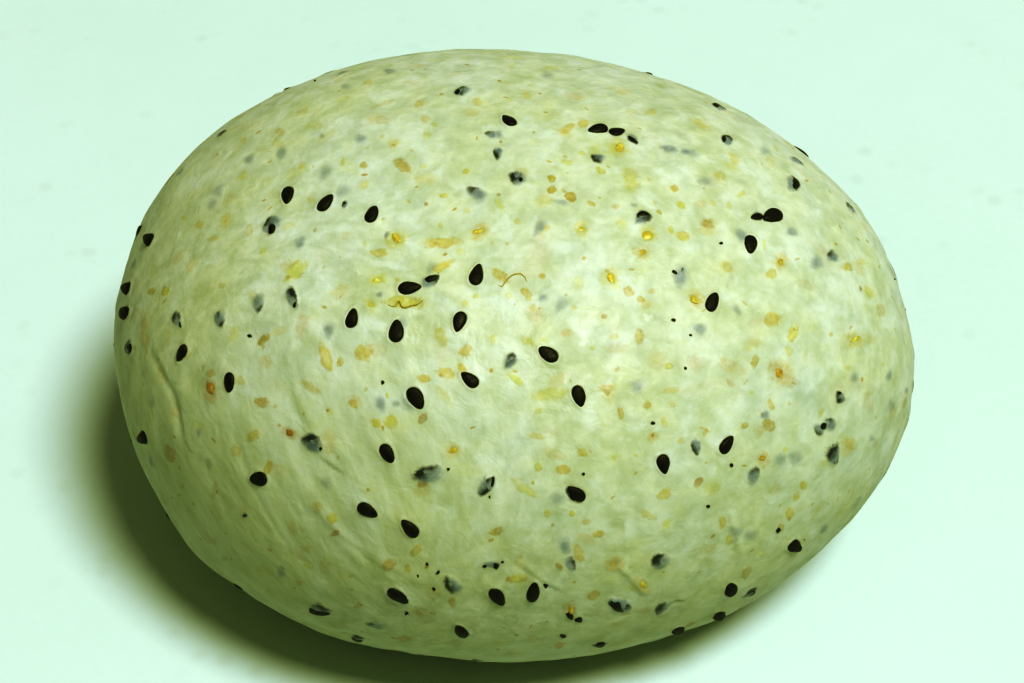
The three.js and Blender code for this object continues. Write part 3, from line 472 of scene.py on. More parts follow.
for _ in range(15):  # the side turned away has its own
    lo, la, a = line_rng.uniform(25, 195), line_rng.uniform(-12, 48), line_rng.uniform(0, 6.28)
    run = [(lo + s * math.cos(a + 0.12 * s) / math.cos(math.radians(la)), la + s * math.sin(a + 0.12 * s)) for s in range(0, int(line_rng.uniform(4, 11)), 2)]
    LINES.append((run, float(line_rng.uniform(0.07, 0.26)), float(line_rng.uniform(0.35, 0.55)), float(line_rng.uniform(0.06, 0.2))))
for k in range(9):  # the pinched seam under the ball, where its skin was gathered in
    a = k * 40 + line_rng.uniform(-12, 12)
    LINES.append(([(a + 3 * math.sin(s), -88 + s * (12 + line_rng.uniform(-2, 4)) / 3) for s in range(4)], 0.9, 1.3, 0.2))


def line_field(p, n, run):
    """Distance of points from a run of short straight steps laid on the skin, how far they are to its left, and how far
    along it they are, 0 to 1."""
    q = skin(direction(np.array([a for a, _ in run]), np.array([b for _, b in run])))
    best = np.full(len(p), 1e9)
    side = np.zeros(len(p))
    along = np.zeros(len(p))
    for k in range(len(q) - 1):
        s = q[k + 1] - q[k]
        f = np.clip((p - q[k]) @ s / (s @ s), 0, 1)
        w = p - (q[k] + f[:, None] * s)
        dd = np.linalg.norm(w, axis=1)
        new = dd < best
        best[new] = dd[new]
        side[new] = (np.cross(s / np.linalg.norm(s), w) * n).sum(1)[new]
        along[new] = ((k + f) / (len(q) - 1))[new]
    return best, side, along


def centres(v, t):
    return unit(v[t].mean(1))


def mark(v, t, spots, extra):
    c = centres(v, t)
    m = np.zeros(len(t), bool)
    for s in spots:
        i = s.near(c, s.half[0] + extra)
        p = skin(c[i])
        over = np.hypot(*(s.local(p) * s.half / (s.half + extra)).T)
        m[i[over < 1]] = True
    return m


m = mark(V, T, bare + sunk, 1.1) | mark(V, T, grits, 0.7) | mark(V, T, [s for s, t in zip(veiled, VEILED) if t[5] >= 4], 0.3)
C = centres(V, T)
PC = skin(C)
NC = skin_normal(C)
for run, depth, half, lip in LINES:
    dist, _, _ = line_field(PC, NC, run)
    m |= dist < half * 2.4
V, T = refine(V, T, m)
V, T = refine(V, T, mark(V, T, bare + sunk, 0.42))

P0 = skin(V)
N0 = skin_normal(V)
height = np.zeros(len(V))

# broad lumps, then the softer small relief of a stretched skin
height += 0.24 * fnoise(P0, 21, 3, 2) + 0.15 * fnoise(P0, 7.5, 8, 2)
height += 0.070 * fnoise(P0, 3.3, 14, 2)
pull = unit(skin(direction(-122.8, 7.1)[None])[0] - skin(direction(-134.8, 19.8)[None])[0])
front_left = np.exp(-((1 - V @ direction(-122.0, 17.0)) / 0.16) ** 1.5)
drawn = P0 - 0.80 * (P0 @ pull)[:, None] * pull
height += 0.15 * front_left * fnoise(drawn, 2.3, 21, 2)
pull2 = unit(np.array([0.25, -0.55, -0.8]))
right = np.exp(-((1 - V @ direction(-22.0, 18.0)) / 0.12) ** 1.5)
drawn2 = P0 - 0.85 * (P0 @ pull2)[:, None] * pull2
height += 0.04 * right * fnoise(drawn2, 2.6, 23, 2)
height += 0.55 * np.exp(-((1 - V @ direction(-143.0, -12.0)) / 0.006))

for run, depth, half, lip in LINES:
    near = np.nonzero(V @ direction(*run[len(run) // 2]) > 0.90)[0]
    dist, side, along = line_field(P0[near], N0[near], run)
    fade = np.clip(np.minimum(along, 1 - along) * 5, 0.25, 1)
    height[near] -= fade * depth * np.exp(-(dist / half) ** 2)
    height[near] += fade * lip * np.exp(-((side - 1.25 * half) / (1.1 * half)) ** 2) * np.exp(-(dist / (3.0 * half)) ** 4)

# the skin over each seed: a pocket and a raised lip where the seed is bare, a swelling where it lies under the skin
for s in bare:
    i = s.near(V, s.half[0] + 2.2)
    out = (tear(s.local(P0[i])) - 1) * s.half[1]
    h = height[i]
    flat = np.exp(-(np.maximum(out, 0) / 0.5) ** 2)
    mean = h[np.abs(out) < 0.6].mean() if (np.abs(out) < 0.6).any() else 0.0
    h = h * (1 - flat) + mean * flat
    wob = fnoise(P0[i], 1.3, 40, 1)
    h = h + (0.19 + 0.13 * wob) * np.exp(-((out - 0.06) / 0.17) ** 2) + 0.06 * np.exp(-((out - 0.35) / 0.55) ** 2)
    h = h - 0.62 * step(-0.02, -0.42, out)
    height[i] = h
    s.rise = float(mean)
for s, t in zip(sunk, SUNK):
    i = s.near(V, s.half[0] + 2.0)
    out = (tear(s.local(P0[i])) - 1) * s.half[1]
    flat = np.exp(-(np.maximum(out, 0) / 0.5) ** 2)
    mean = height[i][np.abs(out) < 0.6].mean() if (np.abs(out) < 0.6).any() else 0.0
    height[i] = height[i] * (1 - flat) + mean * flat
    wob = fnoise(P0[i], 1.5, 44, 1)
    height[i] += (0.10 + 0.10 * wob) * step(0.35, -0.5, out)
    s.rise = float(mean)
for s, t in zip(veiled, VEILED):
    i = s.near(V, s.half[0] + 1.5)
    out = (tear(s.local(P0[i])) - 1) * s.half[1]
    height[i] += 0.035 * t[5] * step(0.5, -0.7, out)
for s, t in zip(grits, GRIT):
    i = s.near(V, s.half[0] + 1.5)
    uv = s.local(P0[i])
    out = (np.hypot(*uv.T) - 1) * s.half[1]
    near = np.abs(out) < 0.7
    s.rise = float(height[i][near].mean()) if near.any() else 0.0
    height[i] += 0.09 * np.exp(-((out - 0.0) / 0.35) ** 2) - 0.08 * step(0, -0.5, out)

P = P0 + N0 * height[:, None]
# the foot is pressed flat by the ball's own weight, and turns up softly at its edge
z = P[:, 2]
SOFT = 1.1
z = np.where(z > 2 * SOFT, z, np.where(z < -2 * SOFT, 0.0, (z + 2 * SOFT) ** 2 / (8 * SOFT)))
seam = np.maximum(0, -(height + 0.15)) * np.exp(-((np.hypot(P[:, 0], P[:, 1] - 0.5)) / 17.0) ** 4)
P[:, 2] = np.where(P0[:, 2] < 0, np.maximum(z, 0) + np.minimum(seam, 1.2), np.maximum(z, 0))


def make(name, verts, tris, mat, body="root"):
    me = bpy.data.meshes.new(name)
    me.from_pydata((np.asarray(verts) * MM).tolist(), [], np.asarray(tris).tolist())
    me.update()
    me.polygons.foreach_set("use_smooth", np.ones(len(me.polygons), bool))
    me.materials.append(mat)
    ob = bpy.data.objects.new(name, me)
    bpy.context.scene.collection.objects.link(ob)
    if body:
        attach(ob, body)
    return ob


# ------------------------------------------------------------------------------------------------------------ shading
class Graph:
    def __init__(self, name):
        self.mat = bpy.data.materials.new(name)
        self.mat.use_nodes = True
        self.t = self.mat.node_tree
        self.t.nodes.clear()
        self.out = self.t.nodes.new("ShaderNodeOutputMaterial")
        self.bsdf = self.t.nodes.new("ShaderNodeBsdfPrincipled")
        self.t.links.new(self.bsdf.outputs[0], self.out.inputs[0])
        self.xyz = self.t.nodes.new("ShaderNodeTexCoord").outputs["Object"]

    def put(self, socket, value):
        if hasattr(value, "is_output"):
            self.t.links.new(value, socket)
        elif value is not None:
            socket.default_value = value

    def noise(self, scale, detail=2.0, rough=0.5, warp=0.0, vec=None, color=False, seed=0.0):
        n = self.t.nodes.new("ShaderNodeTexNoise")
        n.noise_dimensions = "4D" if seed else "3D"
        self.put(n.inputs["Vector"], vec if vec is not None else self.xyz)
        if seed:
            n.inputs["W"].default_value = seed
        n.inputs["Scale"].default_value = scale
        n.inputs["Detail"].default_value = detail
        n.inputs["Roughness"].default_value = rough
        n.inputs["Distortion"].default_value = warp
        return n.outputs["Color" if color else "Fac"]

    def cells(self, scale, feature="F1", vec=None, out="Distance", jitter=1.0):
        n = self.t.nodes.new("ShaderNodeTexVoronoi")
        n.feature = feature
        self.put(n.inputs["Vector"], vec if vec is not None else self.xyz)
        n.inputs["Scale"].default_value = scale
        n.inputs["Randomness"].default_value = jitter
        return n.outputs[out]

    def math(self, op, a, b=0.0, c=0.0, clamp=False):
        n = self.t.nodes.new("ShaderNodeMath")
        n.operation, n.use_clamp = op, clamp
        for s, v in zip(n.inputs, (a, b, c)):
            self.put(s, v)
        return n.outputs[0]

    def vmath(self, op, a, b=None, scale=None):
        n = self.t.nodes.new("ShaderNodeVectorMath")
        n.operation = op
        self.put(n.inputs[0], a)
        if b is not None:
            self.put(n.inputs[1], b)
        if scale is not None:
            self.put(n.inputs["Scale"], scale)
        return n.outputs["Value" if op in ("LENGTH", "DOT_PRODUCT", "DISTANCE") else "Vector"]

    def parts(self, v):
        n = self.t.nodes.new("ShaderNodeSeparateXYZ")
        self.put(n.inputs[0], v)
        return n.outputs

    def ramp(self, x, a, b, lo=0.0, hi=1.0, smooth=True):
        n = self.t.nodes.new("ShaderNodeMapRange")
        n.interpolation_type = "SMOOTHSTEP" if smooth else "LINEAR"
        for s, v in zip(n.inputs, (x, a, b, lo, hi)):
            self.put(s, v)
        return n.outputs[0]

    def mix(self, f, a, b, how="MIX"):
        n = self.t.nodes.new("ShaderNodeMix")
        n.data_type, n.blend_type, n.clamp_factor = "RGBA", how, True
        self.put(n.inputs[0], f)
        self.put(n.inputs[6], a)
        self.put(n.inputs[7], b)
        return n.outputs[2]

    def attr(self, name, out="Vector"):
        n = self.t.nodes.new("ShaderNodeAttribute")
        n.attribute_type, n.attribute_name = "GEOMETRY", name
        return n.outputs[out]

    def bump(self, height, distance, strength=1.0, normal=None):
        n = self.t.nodes.new("ShaderNodeBump")
        n.inputs["Strength"].default_value = strength
        n.inputs["Distance"].default_value = distance
        self.put(n.inputs["Height"], height)
        if normal is not None:
            self.put(n.inputs["Normal"], normal)
        return n.outputs[0]

    def stretch(self, along, amount, centre, reach):
        """Coordinates drawn out along a direction near a place, so that a texture on them runs that way there."""
        c = tuple(float(x) for x in centre)
        v = self.vmath("SUBTRACT", self.xyz, c)
        here = self.ramp(self.vmath("LENGTH", v), reach, reach * 0.35, 0, amount)
        d = self.math("MULTIPLY", self.vmath("DOT_PRODUCT", v, tuple(float(x) for x in along)), here)
        return self.vmath("SUBTRACT", v, self.vmath("SCALE", tuple(float(x) for x in along), scale=d))

    def set(self, **values):
        for k, v in values.items():
            self.put(self.bsdf.inputs[k.replace("_", " ")], v)


def rgb(r, g, b):
    return (r, g, b, 1.0)


def dough_material():
    g = Graph("dough")
    fine = g.noise(1400, 3, 0.55)
    # the flour's own tint: creamy, greener or yellower in patches, with a few warm ones
    broad = g.noise(62, 3, 0.55, 0.4)
    patch = g.noise(190, 4, 0.6, 0.6, seed=3.1)
    body = g.mix(g.ramp(broad, 0.36, 0.66), rgb(0.450, 0.510, 0.360), rgb(0.469, 0.536, 0.423))
    body = g.mix(g.ramp(patch, 0.50, 0.74, 0, 0.55), body, rgb(0.453, 0.498, 0.299))
    warm = g.ramp(g.noise(120, 3, 0.55, 0.8, seed=7.7), 0.58, 0.76, 0, 0.55)
    body = g.mix(warm, body, rgb(0.462, 0.454, 0.337))
    cool = g.ramp(g.noise(105, 2, 0.5, 0.3, seed=5.2), 0.56, 0.78, 0, 0.42)
    body = g.mix(cool, body, rgb(0.367, 0.444, 0.383))
    drawn = g.stretch(pull, 0.74, skin(direction(-124.0, 16.0)[None])[0] * MM, 0.040)
    curd = g.ramp(g.noise(300, 2.5, 0.5, 0.6, vec=drawn, seed=9.4), 0.30, 0.70)
    body = g.mix(curd, g.mix(1.0, body, rgb(0.794, 0.826, 0.796), "MULTIPLY"), body)
    small = g.ramp(g.noise(820, 2, 0.5, 0.4, vec=drawn, seed=2.7), 0.34, 0.68)
    body = g.mix(small, g.mix(1.0, body, rgb(0.936, 0.940, 0.918), "MULTIPLY"), body)
    milk = g.ramp(g.noise(240, 3, 0.55, 0.5, vec=drawn, seed=1.9), 0.50, 0.74, 0, 0.60)
    body = g.mix(milk, body, rgb(0.497, 0.573, 0.472))
    body = g.mix(g.ramp(fine, 0.62, 0.78, 0, 0.25), body, rgb(0.539, 0.594, 0.471))

    # painted shade: the skin's colour is darkened low on the ball, more so towards -x, to stand in for shade there
    at = g.parts(g.xyz)
    rise = g.math("MULTIPLY_ADD", g.math("SUBTRACT", g.noise(45, 2, 0.5, seed=6.6), 0.5), 0.014, at[2])
    rise = g.math("MULTIPLY_ADD", at[0], 0.13, rise)
    body = g.mix(g.ramp(rise, 0.066, 0.008), body, g.mix(1.0, body, rgb(0.648, 0.648, 0.660), "MULTIPLY"))

    # bran and cracked grain in the skin, two sets that may lie over each other
    wob = g.vmath("SUBTRACT", g.noise(620, 3, 0.62, 0.3, color=True), (0.5, 0.5, 0.5))
    wob_small = g.vmath("SUBTRACT", g.noise(1900, 2, 0.6, color=True), (0.5, 0.5, 0.5))
    for name in ("pale", "flake"):
        uv = g.attr(name + "_uv")
        k = g.parts(g.attr(name + "_k"))
        tint = g.attr(name + "_tint", "Color")
        w = g.vmath("ADD", g.vmath("SCALE", wob, scale=1.7), g.vmath("SCALE", wob_small, scale=0.7))
        q = g.parts(g.vmath("ADD", uv, w))
        d = g.math("SQRT", g.math("ADD", g.math("MULTIPLY", q[0], q[0]), g.math("MULTIPLY", q[1], q[1])))
        inside = g.ramp(d, g.math("ADD", 1.0, k[1]), g.math("SUBTRACT", 0.95, k[1]))
        grain = g.ramp(g.noise(1500, 2, 0.6, seed=1.3 + len(name)), 0.30, 0.62, 0.55, 1.0)
        f = g.math("MULTIPLY", g.math("MULTIPLY", inside, k[0]), grain)
        body = g.mix(f, body, g.mix(1.0, body, tint, "MULTIPLY"))
        rim = g.math("MULTIPLY", g.ramp(d, 0.55, 0.9), inside)
        rim = g.math("MULTIPLY", g.math("MULTIPLY", rim, k[2]), g.ramp(g.noise(900, 2, 0.6, seed=2.2), 0.42, 0.6))
        body = g.mix(rim, body, g.mix(1.0, body, rgb(0.66, 0.46, 0.22), "MULTIPLY"))
        if name == "flake":
            grain_mask = g.math("MULTIPLY", inside, k[0])

    # seeds below the skin: a blue-grey shade where they are deep, and black where the skin is thin over them; round
    # each bare seed the same layer lays a faint dark ring, partly the seed's colour through the thin skin at its edge
    # and partly painted contact shade
    uv = g.attr("seed_uv")
    k = g.parts(g.attr("seed_k"))
    w = g.vmath("ADD", g.vmath("SCALE", wob, scale=0.75), g.vmath("SCALE", wob_small, scale=0.30))
    q = g.parts(g.vmath("ADD", uv, w))
    taper = g.math("MULTIPLY_ADD", q[0], 0.32, 1.0)
    across = g.math("MULTIPLY", g.math("MULTIPLY", q[1], 1.03), taper)
    d = g.math("SQRT", g.math("ADD", g.math("MULTIPLY", q[0], q[0]), g.math("MULTIPLY", across, across)))
    inside = g.ramp(d, g.math("ADD", 0.94, k[1]), g.math("SUBTRACT", 0.80, g.math("MULTIPLY", k[1], 1.15)))
    turn = g.parts(uv)[2]
    side = g.math("ADD", g.math("MULTIPLY", q[0], g.math("COSINE", turn)), g.math("MULTIPLY", q[1], g.math("SINE", turn)))
    film = g.math("SUBTRACT", g.noise(900, 3, 0.55, 0.3, seed=4.4), 0.5)
    side = g.math("MULTIPLY_ADD", film, 1.1, side)
    thin = g.ramp(side, g.math("SUBTRACT", k[2], 0.52), g.math("ADD", k[2], 0.42))
    cloud = g.ramp(film, -0.16, 0.16, 0.74, 1.0)
    body = g.mix(g.math("MULTIPLY", g.math("MULTIPLY", inside, k[0]), cloud), body, rgb(0.098, 0.150, 0.190))
    core = g.math("MULTIPLY", g.ramp(d, 1.12, 0.70), thin)
    core = g.math("MULTIPLY", core, g.ramp(k[0], 0.55, 0.95))
    body = g.mix(core, body, rgb(0.012, 0.016, 0.022))

    # moist satin skin with a fine floury tooth
    tooth = g.noise(1150, 4, 0.6, 0.2)
    strands = g.noise(700, 3, 0.55, 0.4, vec=drawn)
    dimple = g.noise(330, 3, 0.55, 0.5)
    relief = g.math("ADD", g.math("MULTIPLY", tooth, 0.13), g.math("MULTIPLY", strands, 0.26))
    relief = g.math("ADD", relief, g.math("MULTIPLY", dimple, 1.0))
    relief = g.math("ADD", relief, g.math("MULTIPLY", grain_mask, 0.16))
    n = g.bump(relief, 0.00032, 0.85)
    gloss = g.ramp(g.noise(240, 3, 0.6, seed=6.1), 0.3, 0.7, 0.44, 0.62)
    moist = g.ramp(g.noise(520, 2, 0.5, seed=8.8), 0.62, 0.74, 0, 0.16)
    g.set(Base_Color=body, Roughness=gloss, Normal=n, Subsurface_Weight=0.36, Subsurface_Scale=0.0026,
          Subsurface_Radius=(1.0, 0.85, 0.42), Specular_IOR_Level=0.34, IOR=1.42, Coat_Weight=moist, Coat_Roughness=0.24)
    return g.mat


def sesame_material():
    g = Graph("black_sesame")
    c = g.mix(g.ramp(g.noise(900, 3, 0.6, 0.3), 0.35, 0.7), rgb(0.0030, 0.0034, 0.0040), rgb(0.0080, 0.0080, 0.0078))
    worn = g.ramp(g.noise(2600, 3, 0.6, seed=2.0), 0.66, 0.82, 0, 0.5)
    c = g.mix(worn, c, rgb(0.034, 0.031, 0.025))
    pits = g.cells(3600, "F1", out="Distance")
    relief = g.math("ADD", g.math("MULTIPLY", g.noise(2100, 4, 0.65), 0.8), g.math("MULTIPLY", pits, 0.5))
    rough = g.ramp(g.noise(1300, 2, 0.5, seed=8.0), 0.3, 0.7, 0.42, 0.66)
    g.set(Base_Color=c, Roughness=rough, Normal=g.bump(relief, 0.00006, 0.8), Specular_IOR_Level=0.13)
    return g.mat


def grit_material():
    g = Graph("grain")
    tint = g.attr("tint", "Color")
    flour = g.ramp(g.noise(1500, 3, 0.6, 0.3), 0.42, 0.72)
    c = g.mix(flour, g.mix(1.0, tint, rgb(0.86, 0.66, 0.40), "MULTIPLY"), g.mix(0.30, tint, rgb(0.66, 0.62, 0.30)))
    c = g.mix(g.ramp(g.noise(2400, 2, 0.5, seed=3.3), 0.62, 0.74, 0, 0.6), c, rgb(0.30, 0.12, 0.02))
    relief = g.math("ADD", g.noise(2600, 3, 0.6), g.math("MULTIPLY", g.cells(1700), 0.6))
    rough = g.ramp(g.noise(900, 2, 0.5, seed=1.0), 0.3, 0.7, 0.34, 0.58)
    g.set(Base_Color=c, Roughness=rough, Normal=g.bump(relief, 0.00008, 0.7), Subsurface_Weight=0.55,
          Subsurface_Scale=0.0014, Subsurface_Radius=(1.0, 0.6, 0.2), Specular_IOR_Level=0.34, Coat_Weight=0.06,
          Coat_Roughness=0.25)
    return g.mat


def floor_material():
    g = Graph("pale_top")
    broad = g.noise(5.5, 3, 0.5)
    c = g.mix(g.ramp(broad, 0.35, 0.65), rgb(0.448, 0.577, 0.507), rgb(0.463, 0.589, 0.525))
    spots = g.ramp(g.cells(210, jitter=1.0), 0.10, 0.42, 1, 0)
    sel = g.ramp(g.noise(60, 2, 0.5, seed=2.0), 0.52, 0.66)
    c = g.mix(g.math("MULTIPLY", g.math("MULTIPLY", spots, sel), 0.16), c, rgb(0.28, 0.35, 0.28))
    fine = g.noise(700, 2, 0.5)
    c = g.mix(g.ramp(fine, 0.35, 0.75, 0, 0.10), c, rgb(0.518, 0.623, 0.574))
    rough = g.ramp(g.noise(90, 2, 0.5, seed=4.0), 0.3, 0.7, 0.55, 0.68)
    g.set(Base_Color=c, Roughness=rough, Normal=g.bump(fine, 0.00005, 0.3), Specular_IOR_Level=0.25)
    return g.mat


DOUGH = dough_material()
SESAME = sesame_material()
GRAIN = grit_material()

# --------------------------------------------------------------------------------------------------------- the pieces
dough = make("dough_mass", P, T, DOUGH)
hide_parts("dough_ball")

FC = centres(V, T)
PF = skin(FC)


def layer(name, spots, values, tints=None):
    """Gives each face the place of its corners on the nearest spot of the layer, in that spot's own half sizes."""
    best = np.full(len(T), 1e9)
    uv = np.full((len(T), 3, 3), 0.0)
    uv[..., :2] = 9.0
    k = np.zeros((len(T), 3, 3))
    col = np.ones((len(T), 3, 4))
    for j, s in enumerate(spots):
        i = s.near(FC, s.half[0] * 1.9 + 1.4)
        c = s.local(PF[i])
        dn = np.hypot(*c.T)
        reach = np.hypot(*(c * s.half / (s.half * 1.9 + 0.8)).T)
        i = i[(reach < 1) & (dn < best[i])]
        best[i] = np.hypot(*s.local(PF[i]).T)
        uv[i, :, :2] = s.local(P0[T[i]])
        uv[i, :, 2] = 2.39996 * j % 6.2832
        k[i] = values[j]
        if tints is not None:
            col[i, :, :3] = tints[j]
    me = dough.data
    me.attributes.new(name + "_uv", "FLOAT_VECTOR", "CORNER").data.foreach_set("vector", uv.astype(np.float32).ravel())
    me.attributes.new(name + "_k", "FLOAT_VECTOR", "CORNER").data.foreach_set("vector", k.astype(np.float32).ravel())
    if tints is not None:
        me.attributes.new(name + "_tint", "FLOAT_COLOR", "CORNER").data.foreach_set("color", col.astype(np.float32).ravel())


# a seed's spot: how dark, how soft its edge, how far across it the black begins
VEIL = {1: (0.15, 0.60, 9.0), 2: (0.52, 0.52, 9.0), 3: (0.72, 0.46, 1.15), 4: (0.94, 0.36, 0.52), 5: (1.0, 0.26, 0.10)}
spots = bare + sunk + veiled
# the bare seeds' row paints a faint dark ring just outside each seed: partly the seed showing through, partly painted
# contact shade
values = [(0.34, 0.20, 9.0)] * len(bare) + [(0.92, 0.22, 0.35)] * len(sunk) + [VEIL[t[5]] for t in VEILED]
layer("seed", spots, values)

TINT = {0: (1.00, 0.86, 0.26), 1: (0.96, 0.72, 0.30), 2: (0.92, 0.60, 0.30), 3: (0.90, 0.64, 0.46)}
DARKER = {0: (0.84, 0.68, 0.12), 1: (0.76, 0.54, 0.14), 2: (0.67, 0.42, 0.13), 3: (0.56, 0.30, 0.12)}
LEVEL = {0: 0.30, 1: 0.52, 2: 0.78, 3: 0.95, 4: 1.0}


def tint_of(t, rng):
    a, b = np.array(TINT[t[5]]), np.array(DARKER[t[5]])
    f = {0: 0.0, 1: 0.35, 2: 0.8}[t[7]]
    return (a * (1 - f) + b * f) * rng.uniform(0.95, 1.05, 3)


trng = np.random.default_rng(77)
HALO = [t[:3] + (t[3] * 1.30, t[4] * 1.30) + t[5:] for t in GRIT]
layer("flake", [Spot(*t[:5]) for t in HALO] + [Spot(*t[:3], t[3] * 0.90, t[4] * 0.88) for t in FLAKE],
      [(0.50, 0.45, 0.0) for _ in HALO] + [(0.92 * LEVEL[t[6]], 0.56 - 0.09 * t[6], 0.22 * t[6]) for t in FLAKE],
      [tint_of(t, trng) for t in HALO + FLAKE])
low = PALE + SPECKS
layer("pale", [Spot(*t[:5]) for t in low], [(LEVEL[t[6]], 0.42 if t[7] < 2 else 0.3, 0.12) for t in low],
      [tint_of(t, trng) for t in low])


# ---- sesame seeds
def seed_shape(length, width, thick, rng, rings=20, sides=20):
    """A flattened teardrop with a rounded margin, a faint ridge inside it and slightly uneven faces. The tip is at +x."""
    th = np.linspace(0, math.pi, rings + 2)[1:-1]
    s = 0.5 * np.cos(th)
    point = rng.uniform(0.12, 0.40)
    w = np.sin(th) ** (0.92 + 0.55 * point) * (1 - point * np.cos(th))
    w = 0.5 * w / w.max()
    hgt = np.sin(th) ** 0.62 * (1 - 0.18 * np.cos(th))
    ph = np.linspace(0, 2 * math.pi, sides, endpoint=False)
    c, z = np.cos(ph), np.sin(ph)
    bend = rng.uniform(-0.05, 0.05)
    v = [(0.5 * length, 0.0, 0.0)]
    for a, b, h in zip(s, w, hgt):
        y = b * np.sign(c) * abs(c) ** 0.92
        zz = 0.5 * thick * h * np.sign(z) * abs(z) ** 0.80
        ridge = 1 + 0.07 * np.exp(-((abs(y) / max(b, 1e-6) - 0.74) / 0.12) ** 2) * (h > 0.6)
        for yy, q, k in zip(y, zz, ridge):
            v.append((a * length, (yy + bend * (1 - 4 * a * a)) * width, q * k))
    v.append((-0.5 * length, 0.0, 0.0))
    v = np.array(v)
    n = gnoise(v / 0.95 + rng.uniform(0, 90, 3), 5)[:, None] * 0.055 + gnoise(v / 0.3 + rng.uniform(0, 90, 3), 6)[:, None] * 0.012
    v = v + unit(v + 1e-9) * n
    t = []
    for j in range(sides):
        t.append((0, 1 + j, 1 + (j + 1) % sides))
    for i in range(rings - 1):
        for j in range(sides):
            a, b = 1 + i * sides + j, 1 + i * sides + (j + 1) % sides
            t += [(a, a + sides, b), (b, a + sides, b + sides)]
    last = 1 + rings * sides
    for j in range(sides):
        t.append((last, last - sides + (j + 1) % sides, last - sides + j))
    return v, np.array(t)


def lay(v, s, lift, tip=0.0, lean=0.0):
    """Puts a shape on a spot: x along, y across, z out, tipped about the cross axis and leaned about the long one."""
    a, b = math.radians(tip), math.radians(lean)
    x = v[:, 0] * math.cos(a) - v[:, 2] * math.sin(a)
    z = v[:, 0] * math.sin(a) + v[:, 2] * math.cos(a)
    y = v[:, 1] * math.cos(b) - z * math.sin(b)
    z = v[:, 1] * math.sin(b) + z * math.cos(b)
    return s.p + x[:, None] * s.t + y[:, None] * s.s + (z + lift)[:, None] * s.n


def tilt_up(v, s, degrees):
    """Turns a laid shape about its own middle so that it faces further round to the front."""
    axis = unit(np.cross(s.n, unit(EYE - s.p)))
    m = np.array(Matrix.Rotation(math.radians(degrees), 3, Vector(axis)))
    c = v.mean(0)
    return (v - c) @ m.T + c


srng = np.random.default_rng(12)
for k, (s, row) in enumerate(zip(bare, BARE_SEEDS), 1):
    v, t = seed_shape(row[3] * 1.01, row[4] * 1.01, SEED_THICK * 1.04, srng, 24, 24)
    v = lay(v, s, SEED_LIFT + max(-0.15, min(0.3, s.rise)), srng.uniform(-2.5, 2.5), srng.uniform(-5, 5))
    facing = float(s.n @ unit(EYE - s.p))
    if 0 < facing < 0.45:  # loosely held near the edge, a little proud
        v = tilt_up(v, s, 12.0) + (0.18 if row[1] > 0 else 0.06) * s.n
    ob = make("black_sesame_%02d" % k, v, t, SESAME)
    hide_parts("sesame_seed_%02d" % k)

vs, ts, base = [], [], 0
for s, row in zip(sunk, SUNK):
    v, t = seed_shape(row[3], row[4], 1.0, srng)
    v = lay(v, s, s.rise + 0.02 - (0.12 + 0.46 * row[5]), row[6], srng.choice([-1, 1]) * srng.uniform(10, 22) * min(1, 2 * row[5]))
    vs.append(v)
    ts.append(t + base)
    base += len(v)
ob = make("sunken_sesame", np.concatenate(vs), np.concatenate(ts), SESAME)


# ---- grits
def grit_shape(length, width, thick, rng):
    """A cracked grain: a few flat breaks with softened edges."""
    v, t = geodesic(6)
    n = unit(rng.normal(size=(10, 3)))
    h = rng.uniform(0.62, 1.0, 10)
    q = np.maximum(v @ n.T, 0) / h
    r = 1 / ((q ** 14).sum(1) ** (1 / 14) + 1e-9)
    r = np.minimum(r, 1.25)
    v = v * r[:, None]
    v = v / np.abs(v).max(0) * np.array([length, width, thick]) / 2
    v = v + unit(v) * gnoise(v / 0.45 + rng.uniform(0, 90, 3), 7)[:, None] * 0.03
    return v, t


CHIP = {0: (0.48, 0.50, 0.125), 1: (0.42, 0.43, 0.100), 2: (0.39, 0.32, 0.075), 3: (0.29, 0.19, 0.050)}
vs, ts, cs, base = [], [], [], 0
for s, row in zip(grits, GRIT):
    thick = min(1.1, 0.62 * row[4])
    v, t = grit_shape(row[3] * 1.02, row[4] * 1.02, thick, srng)
    v = lay(v, s, s.rise + 0.02 - 0.36 * thick, srng.uniform(-8, 8), srng.uniform(-8, 8))
    vs.append(v)
    ts.append(t + base)
    base += len(v)
    c = np.array(CHIP[row[5]]) * srng.uniform(0.85, 1.1)
    cs.append(np.tile(np.append(c, 1.0), (len(v), 1)))


def colour(ob, name, rows):
    ob.data.attributes.new(name, "FLOAT_COLOR", "POINT").data.foreach_set("color", np.concatenate(rows).astype(np.float32).ravel())


ob = make("cracked_grain", np.concatenate(vs), np.concatenate(ts), GRAIN)
colour(ob, "tint", cs)

# ---- crumbs of black seed coat
vs, ts, base = [], [], 0
crumb_rows = [t for t in CRUMBS] + [t for t in scatter(26, 4.0, ((0.4, 0.9), (0.3, 0.6)), BARE_SEEDS + SUNK, unseen, 19, 4.0)]
for row in crumb_rows:
    s = Spot(*row[:5])
    v, t = grit_shape(row[3], row[4], 0.3, srng)
    i = s.near(V, 1.6)
    rise = float(height[i].mean()) if len(i) else 0.0
    vs.append(lay(v, s, rise + 0.02))
    ts.append(t + base)
    base += len(v)
ob = make("seed_coat_crumbs", np.concatenate(vs), np.concatenate(ts), SESAME)


